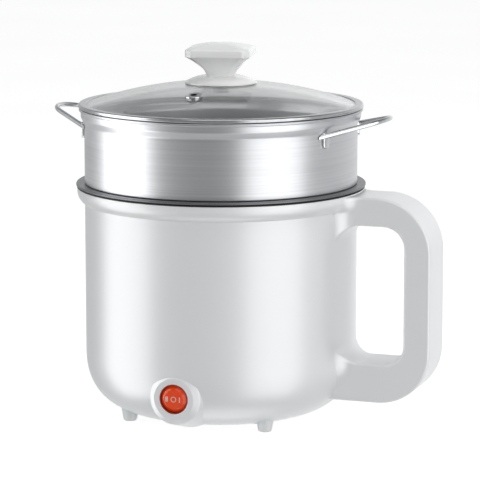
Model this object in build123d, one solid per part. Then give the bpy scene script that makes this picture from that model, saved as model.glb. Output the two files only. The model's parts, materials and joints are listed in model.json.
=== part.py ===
from build123d import *
import os
from math import asin, atan2, cos, degrees, radians, sin, sqrt, tan

# Electric pot with a lift-off stainless steamer and a loose glass lid.
# Millimetres, +Z up, heights above the table, +X towards the handle, -Y towards the switch.
# Every piece is drawn about the pot's upright axis. At the end all are moved along X together,
# so that the frame's origin lies under the middle of the whole part.

# How far cutting shapes run past a face, and how close two places count as one
OVERRUN = 1.0
SAME_PLACE = 0.05

# Outer shell
RIM_Z = 150.0
SHELL_R = 88.5
SHELL_WALL = 2.2
BASE_Z = 3.0
BASE_CORNER_REACH = 42.0
BASE_CORNER_H = 39.0
BASE_CORNER_FULLNESS = 0.64
COLLAR_OUT = 4.9
COLLAR_BAND = 2.5
COLLAR_ARC_R = 8.8

# Handle, a hollow loop moulded with the shell, and the cover on its finger side
HANDLE_W = 34.0
HANDLE_OUT = 57.2
HANDLE_DROP = 0.7
HANDLE_LOW_Z = 16.8
GRIP_T = 17.2
ARM_TOP_T = 18.4
ARM_LOW_T = 25.2
CORNER_TOP_R = 35.5
CORNER_LOW_R = 34.0
WINDOW_TOP_R = 14.0
WINDOW_LOW_R = 13.0
WINDOW_ROOT_R = 12.0
ROOT_FLARE_R = 9.0
LOW_FLARE_Z = 31.0
HANDLE_EDGE_R = 2.0
HANDLE_WALL = 2.6
HANDLE_ROOT_SOLID = 12.0
HANDLE_COVER_T = 2.2
HANDLE_COVER_FIT = 0.2

# Base cover, its ledge and screws
COVER_INSET = 2.5
COVER_T = 2.0
COVER_FIT = 0.2
LEDGE_W = 9.0
LEDGE_T = 2.2
COVER_SCREW_INSET = 4.5
COVER_SCREW_R = 1.5
COVER_SCREW_HEAD_R = 2.7
COVER_SCREW_HEAD_T = 1.2
COVER_SCREW_L = 9.0
COVER_SCREW_COUNT = 4
COVER_BOSS_R = 3.6
COVER_BOSS_H = 7.0

# Feet
FOOT_INSET = 23.5
FOOT_TOP_R = 6.0
FOOT_LOW_R = 4.2
FOOT_H = 10.0
FOOT_EDGE_R = 0.8
FOOT_STEM_R = 2.4
FOOT_STEM_H = 12.0
FOOT_FIT = 0.05
FOOT_COUNT = 4
FOOT_ANGLE = 45.0

# Inner pot and its gasket
LINER_GAP = 1.5
LINER_T = 1.3
LINER_FLOOR_Z = 48.0
LINER_CORNER_R = 10.0
LINER_RIM_R = 2.0
FLANGE_OVER = 0.65
GASKET_T = 1.25
GASKET_INSET = 0.45
GASKET_LIP_H = 7.0
GASKET_FIT = 0.1

# Heater under the pot's floor
PLATE_INSET = 23.5
PLATE_T = 7.8
ELEMENT_INSET = 16.0
ELEMENT_TUBE_R = 3.2
ELEMENT_GAP = 40.0
ELEMENT_LEG_H = 15.0
ELEMENT_PIN_R = 1.3
ELEMENT_PIN_H = 7.0
ELEMENT_FIT = 0.05

# Posts that tie the heater and pot to the shell, with the heat shield on their shoulders
TIE_INSET = 7.0
TIE_COUNT = 4
TIE_ANGLE = 45.0
TIE_LOW_R = 4.5
TIE_TOP_R = 3.0
TIE_BOSS_R = 5.6
TIE_BOSS_Z = 9.5
TIE_SCREW_R = 2.0
TIE_SCREW_HEAD_R = 3.6
TIE_SCREW_HEAD_T = 2.2
TIE_SCREW_L = 14.0
SCREW_FIT = 0.05
SHIELD_Z = 32.0
SHIELD_T = 0.6
SHIELD_INSET = 1.0
SHIELD_RIM_H = 4.0
SHIELD_W = 28.0
SHIELD_FIT = 0.1

# Thermostat and thermal fuse on the heater
STAT_CAP_R = 8.2
STAT_CAP_T = 3.0
STAT_BODY_R = 7.4
STAT_BODY_H = 9.0
STAT_TAB_X = 4.0
STAT_TAB_W = 6.0
STAT_TAB_T = 0.8
STAT_TAB_H = 7.0
STRAP_L = 46.0
STRAP_W = 19.0
STRAP_T = 1.0
STRAP_PAD_L = 8.0
STRAP_FIT = 0.1
STRAP_SCREW_R = 1.5
STRAP_SCREW_HEAD_R = 2.6
STRAP_SCREW_HEAD_T = 1.8
STRAP_SCREW_L = 9.0
FUSE_Y = 16.0
FUSE_R = 2.0
FUSE_L = 12.0
FUSE_LEAD_R = 0.6
FUSE_LEAD_L = 6.0
FUSE_CLIP_W = 8.0
FUSE_CLIP_WALL = 1.2
FUSE_DROP = 2.6

# Round rocker switch on the front
SWITCH_OUT = 0.4
SWITCH_Z = 26.5
BOSS_FACE_R = 13.1
BOSS_DEPTH = 15.0
BOSS_ROOT_DEPTH = 26.0
BOSS_TAPER = 16.0
BOSS_EDGE_R = 1.2
ROCKER_BALL_R = 8.55
ROCKER_PIVOT = 2.2
ROCKER_FACE = 3.2
ROCKER_BACK = 5.5
ROCKER_DISH_R = 45.0
ROCKER_GAP = 0.25
ROCKER_PIN_R = 1.1
ROCKER_PIN_FIT = 0.05
WELL_DEPTH = 10.6
WELL_WALL = 0.65
HOUSING_SET = 0.2
HOUSING_L = 22.0
HOUSING_FIT = 0.05
NUT_R = 11.5
NUT_T = 2.5
SWITCH_TAB_PITCH = 6.0
SWITCH_TAB_W = 4.8
SWITCH_TAB_T = 0.8
SWITCH_TAB_L = 7.5

# Power inlet on the back
INLET_OUT = 0.4
INLET_Z = 26.5
INLET_PAD_W = 36.0
INLET_PAD_H = 27.0
INLET_PAD_DEPTH = 13.0
INLET_PAD_R = 5.0
INLET_FLANGE_W = 31.0
INLET_FLANGE_H = 23.0
INLET_FLANGE_T = 2.2
INLET_BODY_W = 27.0
INLET_BODY_H = 19.0
INLET_BODY_L = 20.0
INLET_SOCKET_W = 23.0
INLET_SOCKET_H = 15.5
INLET_SOCKET_DEPTH = 16.0
INLET_CORNER_R = 2.5
INLET_FIT = 0.1
INLET_PIN_PITCH = 7.0
INLET_PIN_RISE = 2.0
INLET_PIN_W = 4.0
INLET_PIN_T = 2.0
INLET_PIN_SET = 3.5
INLET_TAB_L = 7.0

# Insulated wires between inlet, switch, thermostat, fuse and heater
WIRE_R = 1.2
WIRE_LEAD = 8.0
WIRE_BEND = 0.45
WIRE_GAP = 0.5
WIRE_FLOOR = 4.4
WIRE_LIFT = 4.0
LIVE_INSET = 22.0
LIVE_SIDE_Y = 22.0
LIVE_REAR_Z = 20.0
LIVE_FRONT_Z = 23.0
HIGH_TURN_X = -13.0
HIGH_TURN_Y = -20.0
HIGH_TURN_Z = 17.0
LOW_TURN_X = 13.0
LOW_TURN_Y = -30.0
LOW_TURN_Z = 13.0
LOW_SIDE_X = 17.0
HEATER_TURN_X = -24.0
HEATER_TURN_Y = -10.0
FUSE_TURN_X = -14.0
FUSE_INSET = 17.0
FUSE_SET = 1.0
NEUTRAL_Z = 22.0
EARTH_Z = 24.0

# Steamer
SEAT_GAP = 0.3
STEAMER_T = 0.8
STEAMER_FIT = 0.6
STEAMER_DROP = 16.0
STEAMER_FLOOR_R = 6.0
STEAMER_FOOT_R = 4.0
STEAMER_STEP_R = 1.2
SHOULDER_UP = 38.3
SHOULDER_H = 4.5
SHOULDER_OUT = 2.25
SHOULDER_R = 3.0
STEAMER_H = 48.5
LIP_OUT = 1.25
LIP_H = 1.9
HOLE_R = 3.0
HOLE_PITCH = 13.0
HOLE_RINGS = 5

# Wire handles of the steamer
LOOP_WIRE_R = 1.6
LOOP_ROOT_Y = 35.2
LOOP_OUT = 24.6
LOOP_TIP_Y = 10.3
LOOP_TIP_R = 21.0
LOOP_ROOT_UP = 37.2
LOOP_RISE = 8.0
PADDLE_H = 10.5
PADDLE_W = 6.0
PADDLE_T = 1.8
PADDLE_DROP = 3.0

# Lid
GLASS_CHORD_OUT = 0.5
GLASS_RISE = 15.0
GLASS_EDGE_INSET = 2.25
GLASS_T = 4.0
GLASS_SEAT = 1.3
BAND_OVER = 0.2
BAND_H = 2.6
BAND_SKIRT_FIT = 0.65
BAND_SKIRT_H = 3.9
BAND_LIP = 1.7
BAND_EDGE_R = 0.8
VENT_INSET = 38.0
VENT_HOLE_R = 2.2
VENT_BARREL_R = 3.6
VENT_FLANGE_R = 5.6
VENT_FLANGE_T = 1.3
VENT_FIT = 0.05

# Knob and its fastening
KNOB_SKIRT_R = 23.4
KNOB_SKIRT_EDGE = 0.8
KNOB_STEM_R = 9.5
KNOB_STEM_UP = 4.9
KNOB_SKIRT_BULGE = 0.75
KNOB_HALF_W = 21.0
KNOB_CORNER = 4.4
KNOB_TURN = 11.4
KNOB_FLARE_R = 27.4
KNOB_FLARE_UP = 17.3
KNOB_FLARE_SAG = 0.8
KNOB_SIDE_UP = 20.05
KNOB_TOP_UP = 24.3
KNOB_CROWN_W = 23.5
KNOB_CROWN_TOP_W = 7.6
KNOB_CROWN_DROP = 1.3
SEAL_R = 14.0
SEAL_T = 0.8
WASHER_R = 9.0
WASHER_T = 1.5
WASHER_FIT = 0.2
KNOB_SCREW_R = 2.5
KNOB_SCREW_HEAD_R = 5.0
KNOB_SCREW_HEAD_T = 3.0
KNOB_SCREW_L = 20.0
KNOB_SCREW_FIT = 0.2
GLASS_HOLE_R = 4.0

# Radii, levels and places that follow from the sizes above
BASE_FLAT_R = SHELL_R - BASE_CORNER_REACH
COVER_R = BASE_FLAT_R - COVER_INSET
FOOT_CIRCLE_R = SHELL_R - FOOT_INSET
LINER_R = SHELL_R - SHELL_WALL - LINER_T - LINER_GAP
FLANGE_R = SHELL_R + COLLAR_OUT + FLANGE_OVER
GASKET_R = FLANGE_R - GASKET_INSET
PLATE_R = LINER_R - PLATE_INSET
ELEMENT_R = PLATE_R - ELEMENT_INSET
TIE_R = PLATE_R - TIE_INSET
SHIELD_R = PLATE_R - SHIELD_INSET
SHIELD_EYE_R = SHIELD_R - SHIELD_W
SWITCH_FACE_R = SHELL_R + SWITCH_OUT
INLET_FACE_R = SHELL_R + INLET_OUT
STEAMER_R = SHELL_R
STEAMER_COLLAR_R = STEAMER_R + SHOULDER_OUT
LOOP_TIP_X = STEAMER_R + LOOP_OUT
GLASS_CHORD_R = STEAMER_R + GLASS_CHORD_OUT
GLASS_EDGE_R = STEAMER_COLLAR_R - GLASS_EDGE_INSET
BAND_R = STEAMER_COLLAR_R + LIP_OUT + BAND_OVER
BAND_SKIRT_R = STEAMER_COLLAR_R - STEAMER_T - BAND_SKIRT_FIT
VENT_R = STEAMER_R - VENT_INSET
HANDLE_REACH = SHELL_R + HANDLE_OUT
HANDLE_TOP_Z = RIM_Z - HANDLE_DROP
WINDOW_TOP_Z = HANDLE_TOP_Z - ARM_TOP_T
WINDOW_LOW_Z = HANDLE_LOW_Z + ARM_LOW_T
WINDOW_X = HANDLE_REACH - GRIP_T
INNER_R = SHELL_R - SHELL_WALL
FLANGE_Z = RIM_Z + GASKET_T + LINER_T
PLATE_TOP_Z = LINER_FLOOR_Z - LINER_T
PLATE_LOW_Z = PLATE_TOP_Z - PLATE_T
STEAMER_Z = FLANGE_Z + SEAT_GAP
STEAMER_FLOOR_Z = STEAMER_Z - STEAMER_DROP
STEAMER_TOP_Z = STEAMER_Z + STEAMER_H
SPIGOT_R = LINER_R - STEAMER_FIT
BAND_Z = STEAMER_TOP_Z + SEAT_GAP
GLASS_TOP_Z = BAND_Z + GLASS_SEAT + GLASS_RISE
GLASS_BALL_R = (GLASS_CHORD_R ** 2 + GLASS_RISE ** 2) / (2 * GLASS_RISE)
GLASS_BALL_Z = GLASS_TOP_Z - GLASS_BALL_R
KNOB_Z = GLASS_TOP_Z + SEAL_T
STAT_TAB_Z = PLATE_LOW_Z - STAT_CAP_T - STAT_BODY_H
FUSE_Z = PLATE_LOW_Z - FUSE_DROP
ELEMENT_TAB_Z = PLATE_LOW_Z - ELEMENT_LEG_H - ELEMENT_PIN_H
WELL_R = ROCKER_BALL_R + ROCKER_GAP
HOUSING_R = WELL_R + WELL_WALL
AXIS_X = -(HANDLE_REACH - LOOP_TIP_X - LOOP_WIRE_R) / 2
SWITCH_PLANE = Plane((0, -SWITCH_FACE_R, SWITCH_Z), x_dir=(1, 0, 0), z_dir=(0, -1, 0))
INLET_PLANE = Plane((0, INLET_FACE_R, INLET_Z), x_dir=(-1, 0, 0), z_dir=(0, 1, 0))


def spun(outline):
    """A half section in radius and height, spun about the pot's axis."""
    return revolve(Plane.XZ * make_face(outline), Axis.Z)


def rod(radius, low, high):
    """An upright cylinder on the axis between two heights."""
    return Pos(0, 0, low) * Cylinder(radius, high - low, align=(Align.CENTER, Align.CENTER, Align.MIN))


def tube(outer, inner, low, high):
    """An upright ring on the axis between two heights."""
    return rod(outer, low, high) - rod(inner, low - OVERRUN, high + OVERRUN)


def ring_of(shape, radius, count, first):
    """Copies of a shape spaced evenly on a circle about the axis."""
    return [Rot(0, 0, first + 360 / count * k) * Pos(radius, 0, 0) * shape for k in range(count)]


def shell_form(inset):
    """The shell's outer form, moved inwards by inset: flat base, full rounded corner, straight wall."""
    wall = SHELL_R - inset
    low = BASE_Z + inset
    reach = wall - BASE_FLAT_R
    corner_z = BASE_Z + BASE_CORNER_H
    rise = corner_z - low
    bend = Bezier(
        (BASE_FLAT_R, low),
        (BASE_FLAT_R + BASE_CORNER_FULLNESS * reach, low),
        (wall, corner_z - BASE_CORNER_FULLNESS * rise),
        (wall, corner_z),
    )
    rest = Polyline((wall, corner_z), (wall, RIM_Z), (0, RIM_Z), (0, low), (BASE_FLAT_R, low))
    return spun(bend + rest)


def shell_collar():
    """The collar at the rim: a short band over a convex arc that meets the wall in a crease."""
    radius = SHELL_R + COLLAR_OUT
    band_z = RIM_Z - COLLAR_BAND
    centre = radius - COLLAR_ARC_R
    end = asin(sqrt(1 - ((SHELL_R - centre) / COLLAR_ARC_R) ** 2))
    middle = (centre + COLLAR_ARC_R * cos(end / 2), band_z - COLLAR_ARC_R * sin(end / 2))
    crease_z = band_z - COLLAR_ARC_R * sin(end)
    arc = ThreePointArc((SHELL_R, crease_z), middle, (radius, band_z))
    rest = Polyline((radius, band_z), (radius, RIM_Z), (INNER_R, RIM_Z), (INNER_R, crease_z), (SHELL_R, crease_z))
    return spun(arc + rest)


def window_face(grow):
    """The finger opening's outline in the XZ plane, grown by the given amount."""
    root_x = sqrt(SHELL_R ** 2 - (HANDLE_W / 2) ** 2) - grow
    end_x = WINDOW_X + grow
    low = WINDOW_LOW_Z - grow
    high = WINDOW_TOP_Z + grow
    middle = (low + high) / 2
    line = FilletPolyline(
        (root_x, middle), (root_x, high), (end_x, high), (end_x, low), (root_x, low), (root_x, middle - OVERRUN),
        radius=[WINDOW_ROOT_R + grow, WINDOW_TOP_R + grow, WINDOW_LOW_R + grow, WINDOW_ROOT_R + grow],
    )
    return make_face(line + Line(line @ 1, line @ 0))


def handle_face(inset):
    """The handle's outer outline in the XZ plane, moved inwards by inset."""
    root_x = SHELL_R - COLLAR_ARC_R
    end_x = HANDLE_REACH - inset
    low = HANDLE_LOW_Z + inset
    high = HANDLE_TOP_Z - inset
    line = FilletPolyline(
        (root_x, high), (end_x, high), (end_x, low), (root_x, low),
        radius=[CORNER_TOP_R - inset, CORNER_LOW_R - inset],
    )
    return make_face(line + Line(line @ 1, line @ 0))


def handle_flares():
    """Webs that widen both arms where they run into the shell, concave and tangent to its wall."""
    half = HANDLE_W / 2
    root_x = SHELL_R - COLLAR_ARC_R
    centre_y = half + ROOT_FLARE_R
    centre_x = sqrt((SHELL_R + ROOT_FLARE_R) ** 2 - centre_y ** 2)
    share = SHELL_R / (SHELL_R + ROOT_FLARE_R)
    start_y = half - 2 * HANDLE_EDGE_R
    web = make_face(
        Polyline(
            (root_x, start_y), (centre_x, start_y), (centre_x, centre_y),
            (centre_x * share, centre_y * share), (root_x, centre_y * share), close=True,
        )
    )
    web -= Pos(centre_x, centre_y) * Circle(ROOT_FLARE_R)
    webs = web + mirror(web, Plane.XZ)
    low = Pos(0, 0, LOW_FLARE_Z) * extrude(webs, WINDOW_LOW_Z - LOW_FLARE_Z)
    top = Pos(0, 0, WINDOW_TOP_Z) * extrude(webs, ARM_TOP_T)
    return low + top


def handle_loop():
    """The handle as one rounded loop, before it is hollowed."""
    half = HANDLE_W / 2
    loop = extrude(Plane.XZ * (handle_face(0) - window_face(0)), half, both=True)
    root_x = SHELL_R - COLLAR_ARC_R
    edges = [
        edge for edge in loop.edges()
        if abs(abs(edge.center().Y) - half) < SAME_PLACE and edge.bounding_box().max.X > root_x + SAME_PLACE
    ]
    return fillet(edges, HANDLE_EDGE_R) + handle_flares()


def handle_hollow(inset):
    """The hollow of the handle, open on the finger side, beyond its solid roots."""
    half = HANDLE_W / 2 - HANDLE_WALL - inset
    face = handle_face(HANDLE_WALL + inset) - window_face(0)
    start_x = SHELL_R + HANDLE_ROOT_SOLID + inset
    keep = Pos(start_x, 0, 0) * Box(
        HANDLE_REACH, HANDLE_W, RIM_Z, align=(Align.MIN, Align.CENTER, Align.MIN)
    )
    return extrude(Plane.XZ * face, half, both=True) & keep


def switch_boss(depth):
    """The tapered round boss that carries the switch, with a flat inner end at the given depth."""
    root_r = BOSS_FACE_R + depth * tan(radians(BOSS_TAPER))
    boss = Cone(root_r, BOSS_FACE_R, depth, align=(Align.CENTER, Align.CENTER, Align.MAX))
    boss = fillet(boss.edges().group_by(Axis.Z)[-1], BOSS_EDGE_R)
    return SWITCH_PLANE * boss


def inlet_pad():
    """The flat pad on the back that carries the power inlet."""
    pad = extrude(RectangleRounded(INLET_PAD_W, INLET_PAD_H, INLET_PAD_R), -INLET_PAD_DEPTH)
    return INLET_PLANE * pad


def base_ledge():
    """Ring on the shell's floor that the base cover screws to, with its screw bosses."""
    top = BASE_Z + SHELL_WALL + LEDGE_T
    ledge = tube(COVER_R + LEDGE_W / 4, COVER_R - LEDGE_W, BASE_Z, top)
    boss = rod(COVER_BOSS_R, BASE_Z, top + COVER_BOSS_H)
    for copy in ring_of(boss, COVER_R - COVER_SCREW_INSET, COVER_SCREW_COUNT, 0):
        ledge += copy
    return ledge


def shell_cavity():
    """The room inside the shell, less the bosses, pad and ledge that stand in it."""
    cavity = shell_form(SHELL_WALL) - switch_boss(BOSS_DEPTH) - inlet_pad() - base_ledge()
    for boss in ring_of(rod(TIE_BOSS_R, 0, TIE_BOSS_Z), TIE_R, TIE_COUNT, TIE_ANGLE):
        cavity -= boss
    return cavity


def shell_cuts():
    """Openings through the shell: base, screw and foot holes, switch and inlet."""
    tie_cut = rod(TIE_SCREW_HEAD_R + SCREW_FIT, 0, BASE_Z + TIE_SCREW_HEAD_T)
    tie_cut += rod(TIE_SCREW_R + SCREW_FIT, 0, TIE_BOSS_Z + OVERRUN)
    cover_cut = rod(COVER_SCREW_R + SCREW_FIT, 0, BASE_Z + COVER_SCREW_L + OVERRUN)
    foot_cut = rod(FOOT_STEM_R + FOOT_FIT, 0, FOOT_STEM_H + OVERRUN)
    reach = SHELL_R / 2
    cuts = [
        rod(COVER_R, 0, BASE_Z + COVER_T + COVER_FIT),
        rod(COVER_R - LEDGE_W, 0, BASE_Z + SHELL_WALL + LEDGE_T + OVERRUN),
        SWITCH_PLANE * Cylinder(HOUSING_R + HOUSING_FIT, reach),
        INLET_PLANE * Box(INLET_BODY_W + 2 * INLET_FIT, INLET_BODY_H + 2 * INLET_FIT, reach),
    ]
    cuts += ring_of(tie_cut, TIE_R, TIE_COUNT, TIE_ANGLE)
    cuts += ring_of(cover_cut, COVER_R - COVER_SCREW_INSET, COVER_SCREW_COUNT, 0)
    cuts += ring_of(foot_cut, FOOT_CIRCLE_R, FOOT_COUNT, FOOT_ANGLE)
    return cuts


def outer_shell():
    """The white moulding: wall, collar, handle loop, switch boss, inlet pad and the bosses in its floor."""
    shell = shell_form(0) + shell_collar() + handle_loop() - handle_hollow(0)
    shell += switch_boss(BOSS_ROOT_DEPTH) + inlet_pad()
    shell -= shell_cavity()
    for cut in shell_cuts():
        shell -= cut
    return shell


def handle_cover():
    """Strip that closes the handle's hollow, flush with the finger side."""
    strip = window_face(HANDLE_COVER_T) - window_face(0)
    half = HANDLE_W / 2
    return extrude(Plane.XZ * strip, half, both=True) & handle_hollow(HANDLE_COVER_FIT)


def base_cover():
    """Round plate that closes the shell's underside."""
    cover = rod(COVER_R - COVER_FIT, BASE_Z, BASE_Z + COVER_T)
    cover = fillet(cover.edges().group_by(Axis.Z)[0], COVER_T / 4)
    cut = rod(COVER_SCREW_R + SCREW_FIT, 0, BASE_Z + COVER_T + OVERRUN)
    cut += rod(COVER_SCREW_HEAD_R + SCREW_FIT, 0, BASE_Z + COVER_SCREW_HEAD_T)
    for copy in ring_of(cut, COVER_R - COVER_SCREW_INSET, COVER_SCREW_COUNT, 0):
        cover -= copy
    return cover


def pan_screw(radius, length, head_r, head_t, low):
    """A screw pointing up, with its head's flat face at the given height and a cross recess in it."""
    screw = rod(head_r, low, low + head_t) + rod(radius, low, low + length)
    slot = Box(1.4 * radius, radius / 2, head_t, align=(Align.CENTER, Align.CENTER, Align.CENTER))
    return screw - Pos(0, 0, low) * (slot + Rot(0, 0, 90) * slot)


def base_screws():
    """The screws of the base cover."""
    screw = pan_screw(COVER_SCREW_R, COVER_SCREW_L, COVER_SCREW_HEAD_R, COVER_SCREW_HEAD_T, BASE_Z)
    return ring_of(screw, COVER_R - COVER_SCREW_INSET, COVER_SCREW_COUNT, 0)


def foot(quarter):
    """One tapered plug foot, its top shaped to the shell's rounded underside, with a stem in the shell."""
    body = Cone(FOOT_LOW_R, FOOT_TOP_R, FOOT_H, align=(Align.CENTER, Align.CENTER, Align.MIN))
    body = fillet(body.edges().group_by(Axis.Z)[0], FOOT_EDGE_R)
    place = Rot(0, 0, FOOT_ANGLE + 360 / FOOT_COUNT * quarter) * Pos(FOOT_CIRCLE_R, 0, 0)
    return place * body - shell_form(0) + place * rod(FOOT_STEM_R, FOOT_H / 4, FOOT_STEM_H)


def inner_pot():
    """Deep-drawn pot with a flat flange that lies on the gasket."""
    low = LINER_FLOOR_Z
    outside = LINER_R + LINER_T
    inner = FilletPolyline(
        (FLANGE_R, FLANGE_Z), (LINER_R, FLANGE_Z), (LINER_R, low), (0, low),
        radius=[LINER_RIM_R, LINER_CORNER_R],
    )
    outer = FilletPolyline(
        (0, low - LINER_T), (outside, low - LINER_T), (outside, FLANGE_Z - LINER_T), (FLANGE_R, FLANGE_Z - LINER_T),
        radius=[LINER_CORNER_R + LINER_T, LINER_RIM_R - LINER_T],
    )
    return spun(inner + Line(inner @ 1, outer @ 0) + outer + Line(outer @ 1, inner @ 0))


def rim_gasket():
    """Soft ring under the flange, with a lip that centres the pot in the shell."""
    inner = LINER_R + LINER_T + GASKET_FIT
    lip = INNER_R - GASKET_FIT
    ease = LINER_RIM_R
    outline = Polyline(
        (inner + ease, RIM_Z + GASKET_T), (GASKET_R, RIM_Z + GASKET_T), (GASKET_R, RIM_Z), (lip, RIM_Z),
        (lip, RIM_Z - GASKET_LIP_H), (inner, RIM_Z - GASKET_LIP_H), (inner, RIM_Z - ease), close=True,
    )
    return spun(outline)


def element_ends():
    """Plan places of the heating element's two legs."""
    angles = (180 - ELEMENT_GAP / 2, 180 + ELEMENT_GAP / 2)
    return [(ELEMENT_R * cos(radians(a)), ELEMENT_R * sin(radians(a))) for a in angles]


def element_tube(radius):
    """The element's open ring half sunk in the plate, with both ends turned down."""
    section = Plane.XZ * Pos(ELEMENT_R, PLATE_LOW_Z) * Circle(radius)
    ring = Rot(0, 0, 180 + ELEMENT_GAP / 2) * revolve(section, Axis.Z, 360 - ELEMENT_GAP)
    for x, y in element_ends():
        ring += Pos(x, y, PLATE_LOW_Z) * Sphere(radius)
        ring += Pos(x, y, 0) * rod(radius, PLATE_LOW_Z - ELEMENT_LEG_H, PLATE_LOW_Z)
    return ring


def heating_plate():
    """Cast plate against the pot's floor, grooved for the element and drilled for its fixings."""
    plate = rod(PLATE_R, PLATE_LOW_Z, PLATE_TOP_Z) - element_tube(ELEMENT_TUBE_R + ELEMENT_FIT)
    for x in strap_screw_places():
        plate -= Pos(x, 0, 0) * rod(STRAP_SCREW_R + SCREW_FIT, 0, PLATE_LOW_Z + STRAP_SCREW_L)
    return plate


def element_pins():
    """Cold pins out of the element's two ends."""
    low = ELEMENT_TAB_Z
    return [Pos(x, y, 0) * rod(ELEMENT_PIN_R, low, low + ELEMENT_PIN_H) for x, y in element_ends()]


def tie_posts():
    """Stepped posts from the shell's floor to the heating plate."""
    post = rod(TIE_LOW_R, TIE_BOSS_Z, SHIELD_Z) + rod(TIE_TOP_R, SHIELD_Z, PLATE_LOW_Z)
    post -= rod(TIE_SCREW_R + SCREW_FIT, 0, BASE_Z + TIE_SCREW_L + OVERRUN)
    return ring_of(post, TIE_R, TIE_COUNT, TIE_ANGLE)


def tie_screws():
    """Screws from below into the posts."""
    screw = pan_screw(TIE_SCREW_R, TIE_SCREW_L, TIE_SCREW_HEAD_R, TIE_SCREW_HEAD_T, BASE_Z)
    return ring_of(screw, TIE_R, TIE_COUNT, TIE_ANGLE)


def heat_shield():
    """Shallow steel tray under the heater, open in the middle for the thermostat."""
    shield = tube(SHIELD_R, SHIELD_EYE_R, SHIELD_Z, SHIELD_Z + SHIELD_T)
    shield += tube(SHIELD_R, SHIELD_R - SHIELD_T, SHIELD_Z, SHIELD_Z + SHIELD_RIM_H)
    for cut in ring_of(rod(TIE_TOP_R + SHIELD_FIT, 0, PLATE_LOW_Z), TIE_R, TIE_COUNT, TIE_ANGLE):
        shield -= cut
    for x, y in element_ends():
        shield -= Pos(x, y, 0) * rod(2 * ELEMENT_TUBE_R, 0, PLATE_LOW_Z)
    return shield


def thermostat():
    """Disc thermostat: steel cap against the plate and a ceramic body below it."""
    cap_low = PLATE_LOW_Z - STAT_CAP_T
    return rod(STAT_CAP_R, cap_low, PLATE_LOW_Z) + rod(STAT_BODY_R, cap_low - STAT_BODY_H, cap_low)


def thermostat_tabs():
    """The thermostat's two blades."""
    tab = Box(STAT_TAB_T, STAT_TAB_W, STAT_TAB_H, align=(Align.CENTER, Align.CENTER, Align.MAX))
    return [Pos(x, 0, STAT_TAB_Z) * tab for x in (-STAT_TAB_X, STAT_TAB_X)]


def strap_screw_places():
    """X places of the strap's screws."""
    place = (STRAP_L - STRAP_PAD_L) / 2
    return (-place, place)


def thermostat_strap():
    """Strap that holds the thermostat's cap against the plate."""
    high = PLATE_LOW_Z - STAT_CAP_T
    strap = Pos(0, 0, high) * Box(STRAP_L, STRAP_W, STRAP_T, align=(Align.CENTER, Align.CENTER, Align.MAX))
    pad = Box(STRAP_PAD_L, STRAP_W, STAT_CAP_T, align=(Align.CENTER, Align.CENTER, Align.MIN))
    strap -= rod(STAT_BODY_R + STRAP_FIT, 0, high + OVERRUN)
    for x in strap_screw_places():
        strap += Pos(x, 0, high) * pad
        strap -= Pos(x, 0, 0) * rod(STRAP_SCREW_R + SCREW_FIT, 0, PLATE_TOP_Z)
    return strap


def strap_screws():
    """Screws of the thermostat strap."""
    low = PLATE_LOW_Z - STAT_CAP_T - STRAP_T - STRAP_SCREW_HEAD_T
    screw = pan_screw(STRAP_SCREW_R, STRAP_SCREW_L, STRAP_SCREW_HEAD_R, STRAP_SCREW_HEAD_T, low)
    return [Pos(x, 0, 0) * screw for x in strap_screw_places()]


def lying_rod(radius, length):
    """A cylinder along X, centred on the origin."""
    return Rot(0, 90, 0) * Cylinder(radius, length)


def thermal_fuse():
    """One-shot fuse: a capsule with a lead at each end."""
    fuse = lying_rod(FUSE_R, FUSE_L) + lying_rod(FUSE_LEAD_R, FUSE_L + 2 * FUSE_LEAD_L)
    return Pos(0, FUSE_Y, FUSE_Z) * fuse


def fuse_clip():
    """Saddle that holds the fuse under the heating plate."""
    width = 2 * (FUSE_R + FUSE_CLIP_WALL)
    low = FUSE_Z - FUSE_R - FUSE_CLIP_WALL
    clip = Pos(0, FUSE_Y, low) * Box(
        FUSE_CLIP_W, width, PLATE_LOW_Z - low, align=(Align.CENTER, Align.CENTER, Align.MIN)
    )
    return clip - Pos(0, FUSE_Y, FUSE_Z) * lying_rod(FUSE_R + SCREW_FIT, 2 * FUSE_L)


def switch_housing():
    """The switch's body: a round well for the rocker in front of a closed back."""
    front = -HOUSING_SET
    back = front - HOUSING_L
    body = rod(HOUSING_R, back, front) - rod(WELL_R, front - WELL_DEPTH, front + OVERRUN)
    body -= Pos(0, 0, -ROCKER_PIVOT) * Rot(90, 0, 0) * Cylinder(ROCKER_PIN_R + ROCKER_PIN_FIT, 4 * HOUSING_R)
    return SWITCH_PLANE * body


def rocker():
    """Round rocker: a ball segment with a dished face, on two pins."""
    ball = Sphere(ROCKER_BALL_R)
    ball &= rod(2 * ROCKER_BALL_R, -ROCKER_BACK, ROCKER_FACE)
    sag = ROCKER_DISH_R - sqrt(ROCKER_DISH_R ** 2 - ROCKER_BALL_R ** 2)
    ball -= Pos(0, 0, ROCKER_FACE - sag + ROCKER_DISH_R) * Rot(90, 0, 0) * Cylinder(ROCKER_DISH_R, 4 * ROCKER_BALL_R)
    ball += Rot(90, 0, 0) * Cylinder(ROCKER_PIN_R, 2 * (HOUSING_R - HOUSING_FIT))
    return SWITCH_PLANE * Pos(0, 0, -ROCKER_PIVOT) * ball


def switch_nut():
    """Ring nut that draws the switch against the boss."""
    return SWITCH_PLANE * tube(NUT_R, HOUSING_R + HOUSING_FIT, -BOSS_DEPTH - NUT_T, -BOSS_DEPTH)


def switch_tabs():
    """Three blades at the switch's back."""
    tab = Box(SWITCH_TAB_T, SWITCH_TAB_W, SWITCH_TAB_L, align=(Align.CENTER, Align.CENTER, Align.MAX))
    back = -HOUSING_SET - HOUSING_L
    return [SWITCH_PLANE * Pos(SWITCH_TAB_PITCH * k, 0, back) * tab for k in (-1, 0, 1)]


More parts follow.
